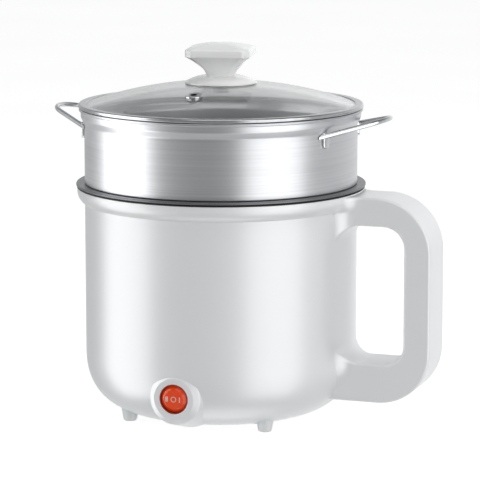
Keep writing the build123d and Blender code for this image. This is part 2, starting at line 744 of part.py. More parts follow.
def inlet_pin_places():
    """Places of live, neutral and earth pins on the inlet's face."""
    rise = INLET_PIN_RISE
    return ((-INLET_PIN_PITCH, -rise), (INLET_PIN_PITCH, -rise), (0, rise))


def power_inlet():
    """Appliance inlet: flange on the pad, body through it and a socket round the pins."""
    flange = extrude(RectangleRounded(INLET_FLANGE_W, INLET_FLANGE_H, INLET_CORNER_R), INLET_FLANGE_T)
    body = flange + extrude(Rectangle(INLET_BODY_W, INLET_BODY_H), -INLET_BODY_L)
    socket = extrude(RectangleRounded(INLET_SOCKET_W, INLET_SOCKET_H, INLET_CORNER_R), -INLET_SOCKET_DEPTH)
    body -= Pos(0, 0, INLET_FLANGE_T) * socket
    for x, y in inlet_pin_places():
        body -= Pos(x, y, 0) * Box(INLET_PIN_T, INLET_PIN_W, 4 * INLET_BODY_L)
    return INLET_PLANE * body


def inlet_pins():
    """The inlet's three pins, each one piece with the tab behind the body."""
    high = INLET_FLANGE_T - INLET_PIN_SET
    length = high + INLET_BODY_L + INLET_TAB_L
    pin = Box(INLET_PIN_T, INLET_PIN_W, length, align=(Align.CENTER, Align.CENTER, Align.MAX))
    return [INLET_PLANE * Pos(x, y, high) * pin for x, y in inlet_pin_places()]


def wire(points):
    """A round wire on straight runs joined by arcs as large as the runs allow."""
    corners = [Vector(*point) for point in points]
    radii = []
    for before, at, after in zip(corners, corners[1:], corners[2:]):
        turn = radians((at - before).get_angle(after - at))
        run = min((at - before).length, (after - at).length)
        radii.append(WIRE_BEND * run / tan(turn / 2))
    line = FilletPolyline(*corners, radius=radii)
    return sweep(Plane(line @ 0, z_dir=line % 0) * Circle(WIRE_R), path=line)


def wires():
    """Route of every internal wire, from tab to tab, with its first and last run in line with the tab."""
    inlet_y = INLET_FACE_R - INLET_BODY_L - INLET_TAB_L
    pin_z = INLET_Z - INLET_PIN_RISE
    earth_z = INLET_Z + INLET_PIN_RISE
    switch_y = -SWITCH_FACE_R + HOUSING_SET + HOUSING_L + SWITCH_TAB_L
    stat_z = STAT_TAB_Z - STAT_TAB_H
    side = WIRE_R + WIRE_GAP
    (left_x, left_y), (right_x, right_y) = element_ends()
    fuse_x = FUSE_L / 2 + FUSE_LEAD_L
    turn_x = fuse_x + WIRE_LEAD
    tie_x = TIE_R * cos(radians(TIE_ANGLE))
    tie_y = TIE_R * sin(radians(TIE_ANGLE))
    floor = BASE_Z + SHELL_WALL + LEDGE_T + WIRE_FLOOR
    pitch = SWITCH_TAB_PITCH
    pin_x = INLET_PIN_PITCH
    out_y = switch_y + WIRE_LEAD
    in_y = inlet_y - WIRE_LEAD
    stat_x = STAT_TAB_X
    live_x = TIE_R - LIVE_INSET
    return {
        "live_wire": [
            (pin_x, inlet_y, pin_z), (pin_x, in_y, pin_z), (live_x, LIVE_SIDE_Y, LIVE_REAR_Z),
            (live_x, -LIVE_SIDE_Y, LIVE_FRONT_Z),
            (0, out_y, SWITCH_Z), (0, switch_y, SWITCH_Z),
        ],
        "high_heat_wire": [
            (-pitch, switch_y, SWITCH_Z), (-pitch, out_y, SWITCH_Z),
            (HIGH_TURN_X, HIGH_TURN_Y, HIGH_TURN_Z),
            (stat_x, -side, floor), (stat_x, -side, stat_z),
        ],
        "low_heat_wire": [
            (pitch, switch_y, SWITCH_Z), (pitch, out_y, SWITCH_Z), (LOW_TURN_X, LOW_TURN_Y, LOW_TURN_Z),
            (LOW_SIDE_X, side, floor + WIRE_LIFT / 4),
            (stat_x, side, floor), (stat_x, side, stat_z),
        ],
        "heater_wire": [
            (-stat_x, 0, stat_z), (-stat_x, 0, floor + WIRE_LIFT),
            (HEATER_TURN_X, HEATER_TURN_Y, floor + WIRE_LIFT / 2),
            (right_x, right_y, floor), (right_x, right_y, ELEMENT_TAB_Z),
        ],
        "fuse_wire": [
            (fuse_x, FUSE_Y, FUSE_Z), (turn_x, FUSE_Y, FUSE_Z), (turn_x, FUSE_Y + FUSE_SET, floor + WIRE_LIFT),
            (FUSE_TURN_X, COVER_R - FUSE_INSET, floor),
            (left_x, left_y, floor), (left_x, left_y, ELEMENT_TAB_Z),
        ],
        "neutral_wire": [
            (-pin_x, inlet_y, pin_z), (-pin_x, in_y, pin_z), (-turn_x, FUSE_Y + FUSE_SET, NEUTRAL_Z),
            (-turn_x, FUSE_Y, FUSE_Z), (-fuse_x, FUSE_Y, FUSE_Z),
        ],
        "earth_wire": [
            (0, inlet_y, earth_z), (0, in_y, earth_z), (tie_x - TIE_LOW_R - WIRE_LEAD, tie_y, EARTH_Z),
            (tie_x - TIE_LOW_R, tie_y, EARTH_Z),
        ],
    }


def steamer_skin(inset):
    """One face of the steamer's sheet, inset from the outer one, from the lip down to the axis."""
    wall = STEAMER_R - inset
    collar = STEAMER_COLLAR_R - inset
    spigot = SPIGOT_R - inset
    shoulder = STEAMER_Z + SHOULDER_UP
    return FilletPolyline(
        (collar, STEAMER_TOP_Z), (collar, shoulder + SHOULDER_H), (wall, shoulder), (wall, STEAMER_Z + inset),
        (spigot, STEAMER_Z + inset), (spigot, STEAMER_FLOOR_Z + inset), (0, STEAMER_FLOOR_Z + inset),
        radius=[SHOULDER_R - inset, SHOULDER_R + inset, STEAMER_FOOT_R - inset, STEAMER_STEP_R + inset,
                STEAMER_FLOOR_R - inset],
    )


def steamer_tray():
    """Drawn steel tray: rolled lip, stepped collar, straight wall, spigot inside the pot and a holed floor."""
    top = STEAMER_TOP_Z
    outer = steamer_skin(0)
    inner = steamer_skin(STEAMER_T)
    tray = spun(outer + Line(outer @ 1, inner @ 1) + inner + Line(inner @ 0, outer @ 0))
    lip = tube(STEAMER_COLLAR_R + LIP_OUT, STEAMER_COLLAR_R - STEAMER_T, top - LIP_H, top)
    rims = lip.edges().filter_by(GeomType.CIRCLE).sort_by(SortBy.RADIUS)
    tray += fillet(rims[-2:], LIP_H / 2.5)
    holes = Circle(HOLE_R)
    for ring in range(1, HOLE_RINGS + 1):
        holes += PolarLocations(ring * HOLE_PITCH, 6 * ring) * Circle(HOLE_R)
    return tray - Pos(0, 0, STEAMER_FLOOR_Z - OVERRUN) * extrude(holes, STEAMER_T + 2 * OVERRUN)


def steamer_handle(side):
    """Bent wire loop with flattened ends welded to the steamer's wall; side is 1 or -1 along X."""
    root_r = STEAMER_R + LOOP_WIRE_R
    root_x = sqrt(root_r ** 2 - LOOP_ROOT_Y ** 2)
    root_z = STEAMER_Z + LOOP_ROOT_UP
    tip_z = root_z + LOOP_RISE
    line = FilletPolyline(
        (root_x, -LOOP_ROOT_Y, root_z), (LOOP_TIP_X, -LOOP_TIP_Y, tip_z),
        (LOOP_TIP_X, LOOP_TIP_Y, tip_z), (root_x, LOOP_ROOT_Y, root_z), radius=LOOP_TIP_R,
    )
    loop = sweep(Plane(line @ 0, z_dir=line % 0) * Circle(LOOP_WIRE_R), path=line)
    angle = degrees(atan2(LOOP_ROOT_Y, root_x))
    paddle = extrude(SlotOverall(PADDLE_H, PADDLE_W), PADDLE_T + OVERRUN)
    for turn in (-angle, angle):
        place = Rot(0, 0, turn) * Pos(STEAMER_R - OVERRUN, 0, root_z - PADDLE_DROP) * Rot(0, 90, 0)
        loop += place * paddle
    skin = steamer_skin(0)
    loop -= spun(skin + Polyline(skin @ 1, (0, STEAMER_TOP_Z), skin @ 0))
    return Rot(0, 0, 0 if side > 0 else 180) * loop


def glass_z(radius, inset):
    """Height of the dome's outer face, or of the face inset below it, at a radius."""
    return GLASS_BALL_Z + sqrt((GLASS_BALL_R - inset) ** 2 - radius ** 2)


def glass_arc(inner, outer, inset):
    """Part of the dome's section between two radii."""
    middle = (inner + outer) / 2
    points = [(radius, glass_z(radius, inset)) for radius in (inner, middle, outer)]
    return ThreePointArc(*points)


def vent_place():
    """Frame on the dome's outer face at the vent, with its Z along the face's normal."""
    normal = Vector(0, -VENT_R, glass_z(VENT_R, 0) - GLASS_BALL_Z).normalized()
    return Plane((0, -VENT_R, glass_z(VENT_R, 0)), x_dir=(1, 0, 0), z_dir=normal)


def lid_glass():
    """Tempered dome with a hole for the knob's screw and one for the vent."""
    top = glass_arc(GLASS_HOLE_R, GLASS_EDGE_R, 0)
    low = glass_arc(GLASS_HOLE_R, GLASS_EDGE_R, GLASS_T)
    dome = spun(top + Line(top @ 1, low @ 1) + low + Line(low @ 0, top @ 0))
    return dome - vent_place() * Cylinder(VENT_BARREL_R + VENT_FIT, 4 * GLASS_T)


def lid_band():
    """Steel band rolled round the glass: a rim that rests on the steamer's lip and a skirt inside it."""
    inner = GLASS_EDGE_R - BAND_LIP
    top = BAND_Z + BAND_H
    low = BAND_Z - BAND_SKIRT_H
    line = FilletPolyline(
        (inner, top), (BAND_R, top), (BAND_R, BAND_Z), (BAND_SKIRT_R, BAND_Z),
        (BAND_SKIRT_R, low), (inner, low), radius=[BAND_EDGE_R, BAND_EDGE_R, BAND_EDGE_R / 2, BAND_EDGE_R / 2],
    )
    band = spun(line + Line(line @ 1, line @ 0))
    arc_top = glass_arc(inner - OVERRUN, GLASS_EDGE_R, 0)
    arc_low = glass_arc(inner - OVERRUN, GLASS_EDGE_R, GLASS_T)
    return band - spun(arc_top + Line(arc_top @ 1, arc_low @ 1) + arc_low + Line(arc_low @ 0, arc_top @ 0))


def vent_eyelet():
    """Riveted steel eyelet that lines the vent hole."""
    eyelet = rod(VENT_BARREL_R, -GLASS_T - VENT_FLANGE_T, VENT_FLANGE_T)
    head = tube(VENT_FLANGE_R, VENT_HOLE_R, VENT_FIT, VENT_FLANGE_T)
    head = fillet(head.edges().group_by(Axis.Z)[-1], VENT_FLANGE_T / 2.5)
    foot_low = -GLASS_T - VENT_FLANGE_T
    eyelet += head + tube(VENT_BARREL_R + VENT_FLANGE_T, VENT_HOLE_R, foot_low, -GLASS_T - VENT_FIT)
    return vent_place() * (eyelet - rod(VENT_HOLE_R, 2 * foot_low, 2 * VENT_FLANGE_T))


def knob_layer(width, height):
    """The head's eight-sided outline, scaled to a width across its flats, at a height."""
    square = Rectangle(width, width)
    outline = chamfer(square.vertices(), KNOB_CORNER * width / (2 * KNOB_HALF_W))
    return Pos(0, 0, height) * Rot(0, 0, KNOB_TURN) * outline


def knob():
    """White knob in one piece: shallow skirt, waisted stem and an eight-sided head with a crowned top."""
    base = KNOB_Z
    edge_z = glass_z(KNOB_SKIRT_R, 0) + SEAT_GAP
    stem_z = base + KNOB_STEM_UP
    middle_r = (KNOB_SKIRT_R + KNOB_STEM_R) / 2
    middle_z = (edge_z + KNOB_SKIRT_EDGE + stem_z) / 2 + KNOB_SKIRT_BULGE
    flare_z = base + KNOB_FLARE_UP
    flare_mid = ((KNOB_STEM_R + KNOB_FLARE_R) / 2 - KNOB_FLARE_SAG, (stem_z + flare_z) / 2 + KNOB_FLARE_SAG)
    top = base + KNOB_TOP_UP
    outline = Polyline((0, base), (SEAL_R, base), (KNOB_SKIRT_R, edge_z), (KNOB_SKIRT_R, edge_z + KNOB_SKIRT_EDGE))
    outline += ThreePointArc((KNOB_SKIRT_R, edge_z + KNOB_SKIRT_EDGE), (middle_r, middle_z), (KNOB_STEM_R, stem_z))
    outline += ThreePointArc((KNOB_STEM_R, stem_z), flare_mid, (KNOB_FLARE_R, flare_z))
    outline += Polyline((KNOB_FLARE_R, flare_z), (KNOB_FLARE_R, top), (0, top), (0, base))
    body = spun(outline)
    side_z = base + KNOB_SIDE_UP
    head = body & extrude(knob_layer(2 * KNOB_HALF_W, stem_z), side_z - stem_z)
    edge = knob_layer(2 * KNOB_HALF_W, side_z)
    crown = knob_layer(KNOB_CROWN_W, top - KNOB_CROWN_DROP)
    head += loft([edge, crown], ruled=True) + loft([crown, knob_layer(KNOB_CROWN_TOP_W, top)], ruled=True)
    bore = rod(KNOB_SCREW_R, 0, screw_low() + KNOB_SCREW_L + OVERRUN)
    return head + (body & rod(2 * KNOB_SKIRT_R, 0, stem_z)) - bore


def screw_low():
    """Height of the knob screw's head, under the washer."""
    return GLASS_TOP_Z - GLASS_T - WASHER_FIT - WASHER_T - KNOB_SCREW_HEAD_T


def knob_seal():
    """Soft washer between knob and glass."""
    ring = tube(SEAL_R - KNOB_SCREW_FIT, KNOB_SCREW_R + KNOB_SCREW_FIT, GLASS_TOP_Z - SEAL_T, KNOB_Z)
    return ring - Pos(0, 0, GLASS_BALL_Z) * Sphere(GLASS_BALL_R)


def knob_washer():
    """Steel washer under the glass."""
    low = screw_low() + KNOB_SCREW_HEAD_T
    return tube(WASHER_R, KNOB_SCREW_R + KNOB_SCREW_FIT, low, low + WASHER_T)


def knob_screw():
    """Screw up through the glass into the knob."""
    return pan_screw(KNOB_SCREW_R, KNOB_SCREW_L, KNOB_SCREW_HEAD_R, KNOB_SCREW_HEAD_T, screw_low())


def pieces():
    """Every node's name and its solid, or its list of solids."""
    nodes = {
        "outer_shell": outer_shell(),
        "handle_cover": handle_cover(),
        "base_cover": base_cover(),
        "base_screws": base_screws(),
        "inner_pot": inner_pot(),
        "rim_gasket": rim_gasket(),
        "heating_plate": heating_plate(),
        "heating_element": element_tube(ELEMENT_TUBE_R),
        "element_pins": element_pins(),
        "tie_posts": tie_posts(),
        "tie_screws": tie_screws(),
        "heat_shield": heat_shield(),
        "thermostat": thermostat(),
        "thermostat_tabs": thermostat_tabs(),
        "thermostat_strap": thermostat_strap(),
        "strap_screws": strap_screws(),
        "thermal_fuse": thermal_fuse(),
        "fuse_clip": fuse_clip(),
        "switch_housing": switch_housing(),
        "rocker": rocker(),
        "switch_nut": switch_nut(),
        "switch_tabs": switch_tabs(),
        "power_inlet": power_inlet(),
        "inlet_pins": inlet_pins(),
        "steamer_tray": steamer_tray(),
        "steamer_handle_right": steamer_handle(1),
        "steamer_handle_left": steamer_handle(-1),
        "lid_glass": lid_glass(),
        "lid_band": lid_band(),
        "vent_eyelet": vent_eyelet(),
        "knob": knob(),
        "knob_seal": knob_seal(),
        "knob_washer": knob_washer(),
        "knob_screw": knob_screw(),
    }
    for quarter, name in enumerate(("rear_right", "rear_left", "front_left", "front_right")):
        nodes["foot_" + name] = foot(quarter)
    for name, points in wires().items():
        nodes[name] = wire(points)
    return nodes


os.makedirs("parts", exist_ok=True)
for name, shape in pieces().items():
    if isinstance(shape, list):
        moved = Compound([Pos(AXIS_X, 0, 0) * solid for solid in shape])
    else:
        moved = Pos(AXIS_X, 0, 0) * shape
    export_step(moved, f"parts/{name}.step")
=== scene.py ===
import json
import math

import bmesh
import bpy
import numpy as np
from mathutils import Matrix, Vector


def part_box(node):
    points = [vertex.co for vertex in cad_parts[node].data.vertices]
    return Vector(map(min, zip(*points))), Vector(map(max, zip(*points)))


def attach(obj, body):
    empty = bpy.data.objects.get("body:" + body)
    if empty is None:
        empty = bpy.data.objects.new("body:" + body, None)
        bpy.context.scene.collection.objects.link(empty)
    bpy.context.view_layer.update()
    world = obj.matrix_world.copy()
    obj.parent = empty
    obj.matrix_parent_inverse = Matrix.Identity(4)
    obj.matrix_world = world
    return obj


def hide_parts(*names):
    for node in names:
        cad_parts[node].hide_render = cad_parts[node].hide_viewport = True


# Electric pot with a lift-off steamer and a loose glass lid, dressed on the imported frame.
# Sizes are millimetres about the pot's upright axis and above the table; piece() turns them into
# metres in the row frame.

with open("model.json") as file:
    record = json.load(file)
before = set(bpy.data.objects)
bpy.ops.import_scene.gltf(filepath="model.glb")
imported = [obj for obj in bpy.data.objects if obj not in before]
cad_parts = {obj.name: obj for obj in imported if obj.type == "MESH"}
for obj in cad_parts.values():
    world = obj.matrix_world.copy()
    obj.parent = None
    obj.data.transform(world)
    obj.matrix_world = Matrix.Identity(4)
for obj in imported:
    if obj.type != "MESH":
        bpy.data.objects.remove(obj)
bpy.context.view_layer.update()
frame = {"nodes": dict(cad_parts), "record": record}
slot_of = {part["node"]: part["material_slot"] for part in frame["record"]["subparts"]}

# Shell
AXIS_X = -15.5
RIM_Z = 150.0
SHELL_R = 88.5
SHELL_WALL = 2.2
BASE_Z = 3.0
BASE_FLAT_R = 46.5
CORNER_Z = 42.0
CORNER_FULLNESS = 0.64
COLLAR_R = 93.4
COLLAR_BAND = 2.5
COLLAR_ARC_R = 8.8
COVER_R = 44.0
COVER_SEAT_Z = 5.2
LEDGE_R = 35.0
LEDGE_Z = 7.4

# Handle loop, its rounds into the wall, and the strip on its finger side
HANDLE_HALF = 17.0
HANDLE_X = 145.7
HANDLE_TOP_Z = 149.3
HANDLE_LOW_Z = 16.8
HANDLE_TOP_R = 35.5
HANDLE_LOW_R = 34.0
HANDLE_EDGE_R = 1.6
WINDOW_X = 128.5
WINDOW_TOP_Z = 130.9
WINDOW_LOW_Z = 42.0
WINDOW_TOP_R = 14.0
WINDOW_LOW_R = 13.0
ROOT_X = 80.0
ARM_ROWS = 33
ARM_SPREAD_R = 9.0
ARM_RISE_R = 12.0
SPREAD_FROM_Z = 24.0
SPREAD_FULL_Z = 36.0
WALL_OVERLAP = 0.15
STRIP_HALF = 14.2
STRIP_PROUD = 0.15
STRIP_SUNK = 0.4
STRIP_SKIP = 24

# Feet, whose sides rise towards the aim point and end in the shell
FOOT_R = 4.2
FOOT_EDGE_R = 1.5
FOOT_AIM = (6.0, 10.0)
FOOT_END_R = 5.75
FOOT_END_Z = 8.6

# Places of the switch and the inlet, the inlet's pad, and the cut-outs in the wall behind both
SWITCH_Y = 88.9
SWITCH_Z = 26.5
SWITCH_CUT_R = 12.0
INLET_Y = 88.9
INLET_Z = 26.5
INLET_CUT_X = 15.0
INLET_CUT_Z = 10.8
INLET_PAD = (36.0, 27.0, 5.0)
INLET_OPENING = (27.2, 19.2, 0.4)
INLET_DEPTH = 13.0

# Inner pot and the gasket under its flange
FLANGE_R = 94.05
FLANGE_Z = 152.55
LINER_R = 83.5
LINER_T = 1.3
LINER_FLOOR_Z = 48.0
LINER_CORNER_R = 10.0
SEAL_IN_R = 84.9
SEAL_OUT_R = 86.2
SEAL_SLOPE_R = 86.9
SEAL_LIP_R = 93.6
SEAL_LOW_Z = 143.0
SEAL_SLOPE_Z = 148.0
SEAL_TOP_Z = 151.25

# Steamer tray with its rings of floor holes
STEAMER_Z = 152.85
STEAMER_TOP_Z = 201.35
STEAMER_T = 0.8
STEAMER_COLLAR_R = 90.75
SPIGOT_R = 82.9
SHOULDER_Z = 191.15
SHOULDER_RISE = 4.5
LIP_R = 92.0
LIP_LOW_Z = 199.45
FLOOR_Z = 136.85
HOLE_R = 3.0
HOLE_PITCH = 13.0
HOLE_RINGS = 6
HOLED_R = HOLE_PITCH * (HOLE_RINGS - 0.5)

# Wire loops of the steamer and their flattened ends
WIRE_R = 1.6
WIRE_BEND_R = 21.0
WIRE_ROOT_Y = 35.2
WIRE_ROOT_Z = 190.05
WIRE_TIP_X = 113.1
WIRE_TIP_Y = 10.3
WIRE_TIP_Z = 198.05
WIRE_END_GAP = 0.3
WIRE_PAD_W = 6.0
WIRE_PAD_H = 10.5
WIRE_PAD_Z = 187.05

# Lid, its band and its vent
BAND_Z = 201.65
BAND_R = 92.2
BAND_IN_R = 86.8
BAND_SPIGOT_R = 89.3
BAND_LOW_Z = 197.75
BAND_TOP_Z = 204.25
GLASS_TOP_Z = 217.95
GLASS_BALL_R = 271.53
GLASS_T = 4.0
GLASS_EDGE_R = 88.5
GLASS_HOLE_R = 4.0
VENT_Y = 50.5
VENT_R = 4.0

# Knob: its turn is in degrees, and the powers set how its stem widens and how sharply its sides meet
KNOB_Z = 218.75
KNOB_TURN = 11.4
KNOB_HALF_W = 21.0
KNOB_CORNER_W = 26.59
KNOB_STEM_POWER = 1.5
KNOB_SIDE_POWER = 90
KNOB_FOOT_R = 14.0
KNOB_SKIRT_R = 23.4
KNOB_SKIRT_BOW = 1.0
KNOB_NECK_R = 9.5
KNOB_NECK_Z = 222.0
KNOB_BAND_Z = 235.0
KNOB_EDGE_Z = 239.6
KNOB_TOP_Z = 243.05

# Switch boss, with its taper in degrees
BOSS_FACE_R = 13.1
BOSS_FOOT_R = 16.8
BOSS_FOOT_DEPTH = 2.2
BOSS_DEPTH = 26.0
BOSS_TAPER = 16.0
SWITCH_HOLE_R = 9.5
SWITCH_HOLE_DEPTH = 15.0

# Rocker, whose ball reaches ROCKER_BACK degrees round from its face, and its marks
ROCKER_R = 8.55
ROCKER_BACK = 124.0
ROCKER_PIVOT = 2.2
ROCKER_FACE = 3.2
ROCKER_DISH_R = 45.0
ROCKER_FLAT_R = 6.0
ROCKER_EDGE_SLOPE = 0.85
RIM_SOFT = 0.15
MARK_TALL = 3.4
MARK_LINE = 0.4
MARK_RING_R = 1.8
MARK_CORNER_R = 0.25
MARK_PROUD = 0.05
MARK_DEEP = 0.3
# Middle and width of the upright bars of the marks
MARK_BARS = ((-4.9, 0.6), (-4.05, 0.6), (4.1, 0.6))


def linear(code):
    """An sRGB colour code as linear red, green, blue and alpha."""
    value = np.array([int(code[k:k + 2], 16) for k in (1, 3, 5)]) / 255
    bright = ((value + 0.055) / 1.055) ** 2.4
    return (*np.where(value <= 0.04045, value / 12.92, bright).tolist(), 1.0)


def add(tree, kind, inputs=None, **settings):
    """Adds a node; an input is a value, or the socket that feeds it."""
    node = tree.nodes.new(kind)
    for name, value in settings.items():
        setattr(node, name, value)
    for name, value in (inputs or {}).items():
        if isinstance(value, bpy.types.NodeSocket):
            tree.links.new(value, node.inputs[name])
        else:
            node.inputs[name].default_value = value
    return node


def grain(tree, size_mm, stretch):
    """Noise in object space whose grains are about size_mm across, stretched along the axes."""
    place = add(tree, "ShaderNodeTexCoord").outputs["Object"]
    scale = [1000.0 / size_mm / share for share in stretch]
    mapped = add(tree, "ShaderNodeMapping", {"Vector": place, "Scale": scale})
    noise = add(tree, "ShaderNodeTexNoise", {"Vector": mapped.outputs[0], "Scale": 1.0, "Detail": 2.0})
    return noise.outputs[0]


def between(tree, factor, low, high):
    """The factor's middle range spread from low to high."""
    spread = add(tree, "ShaderNodeMapRange", {"Value": factor, "From Min": 0.3, "From Max": 0.7})
    spread.inputs["To Min"].default_value = low
    spread.inputs["To Max"].default_value = high
    return spread.outputs[0]


def tinted(tree, factor, dark, light):
    """Colours from dark to light along the factor."""
    ramp = add(tree, "ShaderNodeValToRGB", {"Fac": factor})
    ramp.color_ramp.elements[0].position = 0.3
    ramp.color_ramp.elements[1].position = 0.7
    ramp.color_ramp.elements[0].color = linear(dark)
    ramp.color_ramp.elements[1].color = linear(light)
    return ramp.outputs[0]


def finish_of(name, dark, light, rough, patch, texture, relief, stretch=(1.0, 1.0, 1.0), **values):
    """A surface whose tint and gloss drift over patch mm, with a relief in mm of texture mm grains."""
    material = bpy.data.materials.new(name)
    material.use_nodes = True
    tree = material.node_tree
    shader = tree.nodes["Principled BSDF"]
    drift = grain(tree, patch, stretch)
    fine = grain(tree, texture, stretch)
    tree.links.new(tinted(tree, drift, dark, light), shader.inputs["Base Color"])
    tree.links.new(between(tree, fine, rough[0], rough[1]), shader.inputs["Roughness"])
    bump = add(tree, "ShaderNodeBump", {"Height": fine, "Strength": 1.0, "Distance": relief * 0.001})
    tree.links.new(bump.outputs[0], shader.inputs["Normal"])
    for key, value in values.items():
        shader.inputs[key.replace("_", " ").title().replace("Ior", "IOR")].default_value = value
    return material


# Lines of a brushed finish run round the axis: long in plan and fine in height
ROUND_BRUSH = (160.0, 160.0, 1.0)

# Each row gives two tints, a range of roughness, and the sizes in mm of patches, of grain and of its relief.
# Grain that is finer on the real surface is drawn at about half a millimetre, so that it shows.
materials = {
    # Moulded polypropylene with a satin skin: broad reflections with soft edges
    "white_shell": finish_of(
        "satin white polypropylene", "#ECEDEE", "#EEEFF0", (0.35, 0.37), 80, 9.0, 0.0002,
        specular_ior_level=1.0, coat_weight=1.0, coat_roughness=0.33, coat_ior=2.0),
    # Moulded and polished white plastic of the knob: small clear highlights on its edges
    "white_knob": finish_of(
        "gloss white plastic", "#FBFBFB", "#FEFEFE", (0.12, 0.17), 25, 6.0, 0.0003,
        coat_weight=0.5, coat_roughness=0.1),
    # Moulded soft plastic of the feet: light bleeds through it, so it has no hard shade
    "pale_foot": finish_of(
        "pale soft plastic", "#F2F3F3", "#F8F8F8", (0.30, 0.40), 4, 0.8, 0.002,
        subsurface_weight=0.6, subsurface_scale=0.006),
    # Moulded switch plastic: a glossy, strong orange-red
    "orange_rocker": finish_of("orange switch plastic", "#FB480C", "#FF5012", (0.14, 0.20), 5, 3.0, 0.0004),
    # Moulded orange-red plastic of the switch's housing, drawn a dull, darker red: the darkening is painted
    # shade of the gap round the rocker
    "red_housing": finish_of("red switch plastic in painted shade", "#8E2210", "#A62C15", (0.30, 0.40), 5, 0.6, 0.002),
    # Sprayed non-stick coating: dark grey with a slight metal sheen and a fine orange-peel skin
    "pot_coating": finish_of(
        "dark non-stick coating", "#66676A", "#737477", (0.26, 0.36), 12, 0.7, 0.002, metallic=0.6),
    # Moulded silicone rubber: nearly black and without gloss
    "black_rubber": finish_of(
        "black silicone rubber", "#0E0E0F", "#161617", (0.50, 0.62), 5, 0.5, 0.004, specular_ior_level=0.2),
    # Stainless sheet brushed round the axis: fine level lines, and highlights that are drawn out upright.
    # The real lines are well under 0.1 mm; they are drawn at 0.45 to 0.9 mm so that they show.
    "steamer_steel": finish_of(
        "brushed stainless sheet", "#BDBEC0", "#C7C8CA", (0.31, 0.37), 0.9, 0.45, 0.0002, ROUND_BRUSH,
        metallic=1.0),
    # Polished stainless wire: clear, bright reflections
    "bright_steel": finish_of(
        "polished stainless", "#C6C7C9", "#D4D5D6", (0.08, 0.14), 3, 0.5, 0.0005, metallic=1.0),
    # Rolled stainless band of the lid: duller than the wire, and darker by painted shade that stands in for
    # the dark reflections the band shows
    "band_steel_painted_shade": finish_of(
        "stainless band in painted shade", "#B0B1B3", "#BCBDBF", (0.18, 0.26), 3, 0.5, 0.0005, metallic=1.0),
    # Cast aluminium: dull and pitted
    "cast_aluminium": finish_of(
        "cast aluminium", "#A9AAAB", "#BDBEBF", (0.38, 0.52), 6, 0.8, 0.02, metallic=1.0),
    # Zinc-plated steel of fixings: grey, with a blurred shine
    "plain_steel": finish_of(
        "zinc-plated steel", "#A2A5A8", "#BABDBF", (0.26, 0.38), 4, 0.5, 0.003, metallic=1.0),
    # Bare stamped brass of contacts: a warm yellow, blurred shine
    "brass_contact": finish_of(
        "bare brass", "#B8923F", "#CDA85A", (0.24, 0.34), 3, 0.4, 0.002, metallic=1.0),
    # Unglazed pressed ceramic: chalky and matt
    "ceramic": finish_of("unglazed ceramic", "#DAD3C4", "#E9E3D7", (0.55, 0.70), 3, 0.4, 0.006),
    # Moulded glass-filled nylon: black with a dull, slightly rough skin
    "black_plastic": finish_of("black nylon", "#1B1B1C", "#29292A", (0.42, 0.55), 5, 0.5, 0.005),
    # Extruded silicone insulation in five colours: a soft, even sheen
    "brown_wire": finish_of("brown silicone", "#6B3D25", "#7A4A30", (0.45, 0.55), 4, 0.4, 0.003),
    "red_wire": finish_of("red silicone", "#B02A20", "#C2382C", (0.45, 0.55), 4, 0.4, 0.003),
    "white_wire": finish_of("white silicone", "#DCDAD4", "#E6E4DF", (0.45, 0.55), 4, 0.4, 0.003),
    "blue_wire": finish_of("blue silicone", "#2A59A8", "#386AB8", (0.45, 0.55), 4, 0.4, 0.003),
    "green_wire": finish_of("green silicone", "#4E9A36", "#66AE3E", (0.45, 0.55), 4, 0.4, 0.003),
}


def clear_glass():
    """Clear tempered glass; light passes straight through it to what lies below."""
    material = finish_of(
        "clear tempered glass", "#EDEEEE", "#F0F1F1", (0.0, 0.02), 40, 12, 0.0004, transmission_weight=1.0)
    tree = material.node_tree
    shader = tree.nodes["Principled BSDF"]
    path = add(tree, "ShaderNodeLightPath")
    through = add(tree, "ShaderNodeBsdfTransparent", {"Color": linear("#EBEDED")})
    mixed = add(tree, "ShaderNodeMixShader", {0: path.outputs["Is Shadow Ray"], 1: shader.outputs[0]})
    tree.links.new(through.outputs[0], mixed.inputs[2])
    tree.links.new(mixed.outputs[0], tree.nodes["Material Output"].inputs["Surface"])
    return material


materials["lid_glass"] = clear_glass()

for name, node in frame["nodes"].items():
    node.data.materials.clear()
    node.data.materials.append(materials[slot_of[name]])


def rounded(points, radii, steps=8, hold=0.4):
    """A polyline whose inner corners become tangent arcs, with a hold point just outside each arc."""
    points = np.asarray(points, float)
    parts = [points[:1]]
    for before, at, after, radius in zip(points[:-2], points[1:-1], points[2:], radii):
        back, ahead = before - at, after - at
        back_run, ahead_run = np.linalg.norm(back), np.linalg.norm(ahead)
        back, ahead = back / back_run, ahead / ahead_run
        half = np.arccos(np.clip(back @ ahead, -1, 1)) / 2
        reach = radius / np.tan(half)
        start, end = at + back * reach, at + ahead * reach
        inward = back + ahead
        centre = at + inward / np.linalg.norm(inward) * radius / np.sin(half)
        turn = np.pi - 2 * half
        share = np.linspace(0, 1, steps + 1)[:, None]
        arc = (start - centre) * np.sin((1 - share) * turn) + (end - centre) * np.sin(share * turn)
        first = start + back * min(hold, max(0.0, 0.25 * (back_run - reach)))
        last = end + ahead * min(hold, max(0.0, 0.25 * (ahead_run - reach)))
        parts += [first[None], centre + arc / np.sin(turn), last[None]]
    parts.append(points[-1:])
    return np.concatenate(parts)


def spaced(profile, step):
    """The polyline with points added so that no run is longer than step."""
    runs = np.linalg.norm(np.diff(profile, axis=0), axis=1)
    along = np.concatenate([[0], np.cumsum(runs)])
    extra = [np.linspace(a, b, int(n) + 2)[1:-1] for a, b, n in zip(along, along[1:], runs // step)]
    every = np.sort(np.concatenate([along, *extra]))
    return np.stack([np.interp(every, along, profile[:, k]) for k in range(profile.shape[1])], axis=-1)


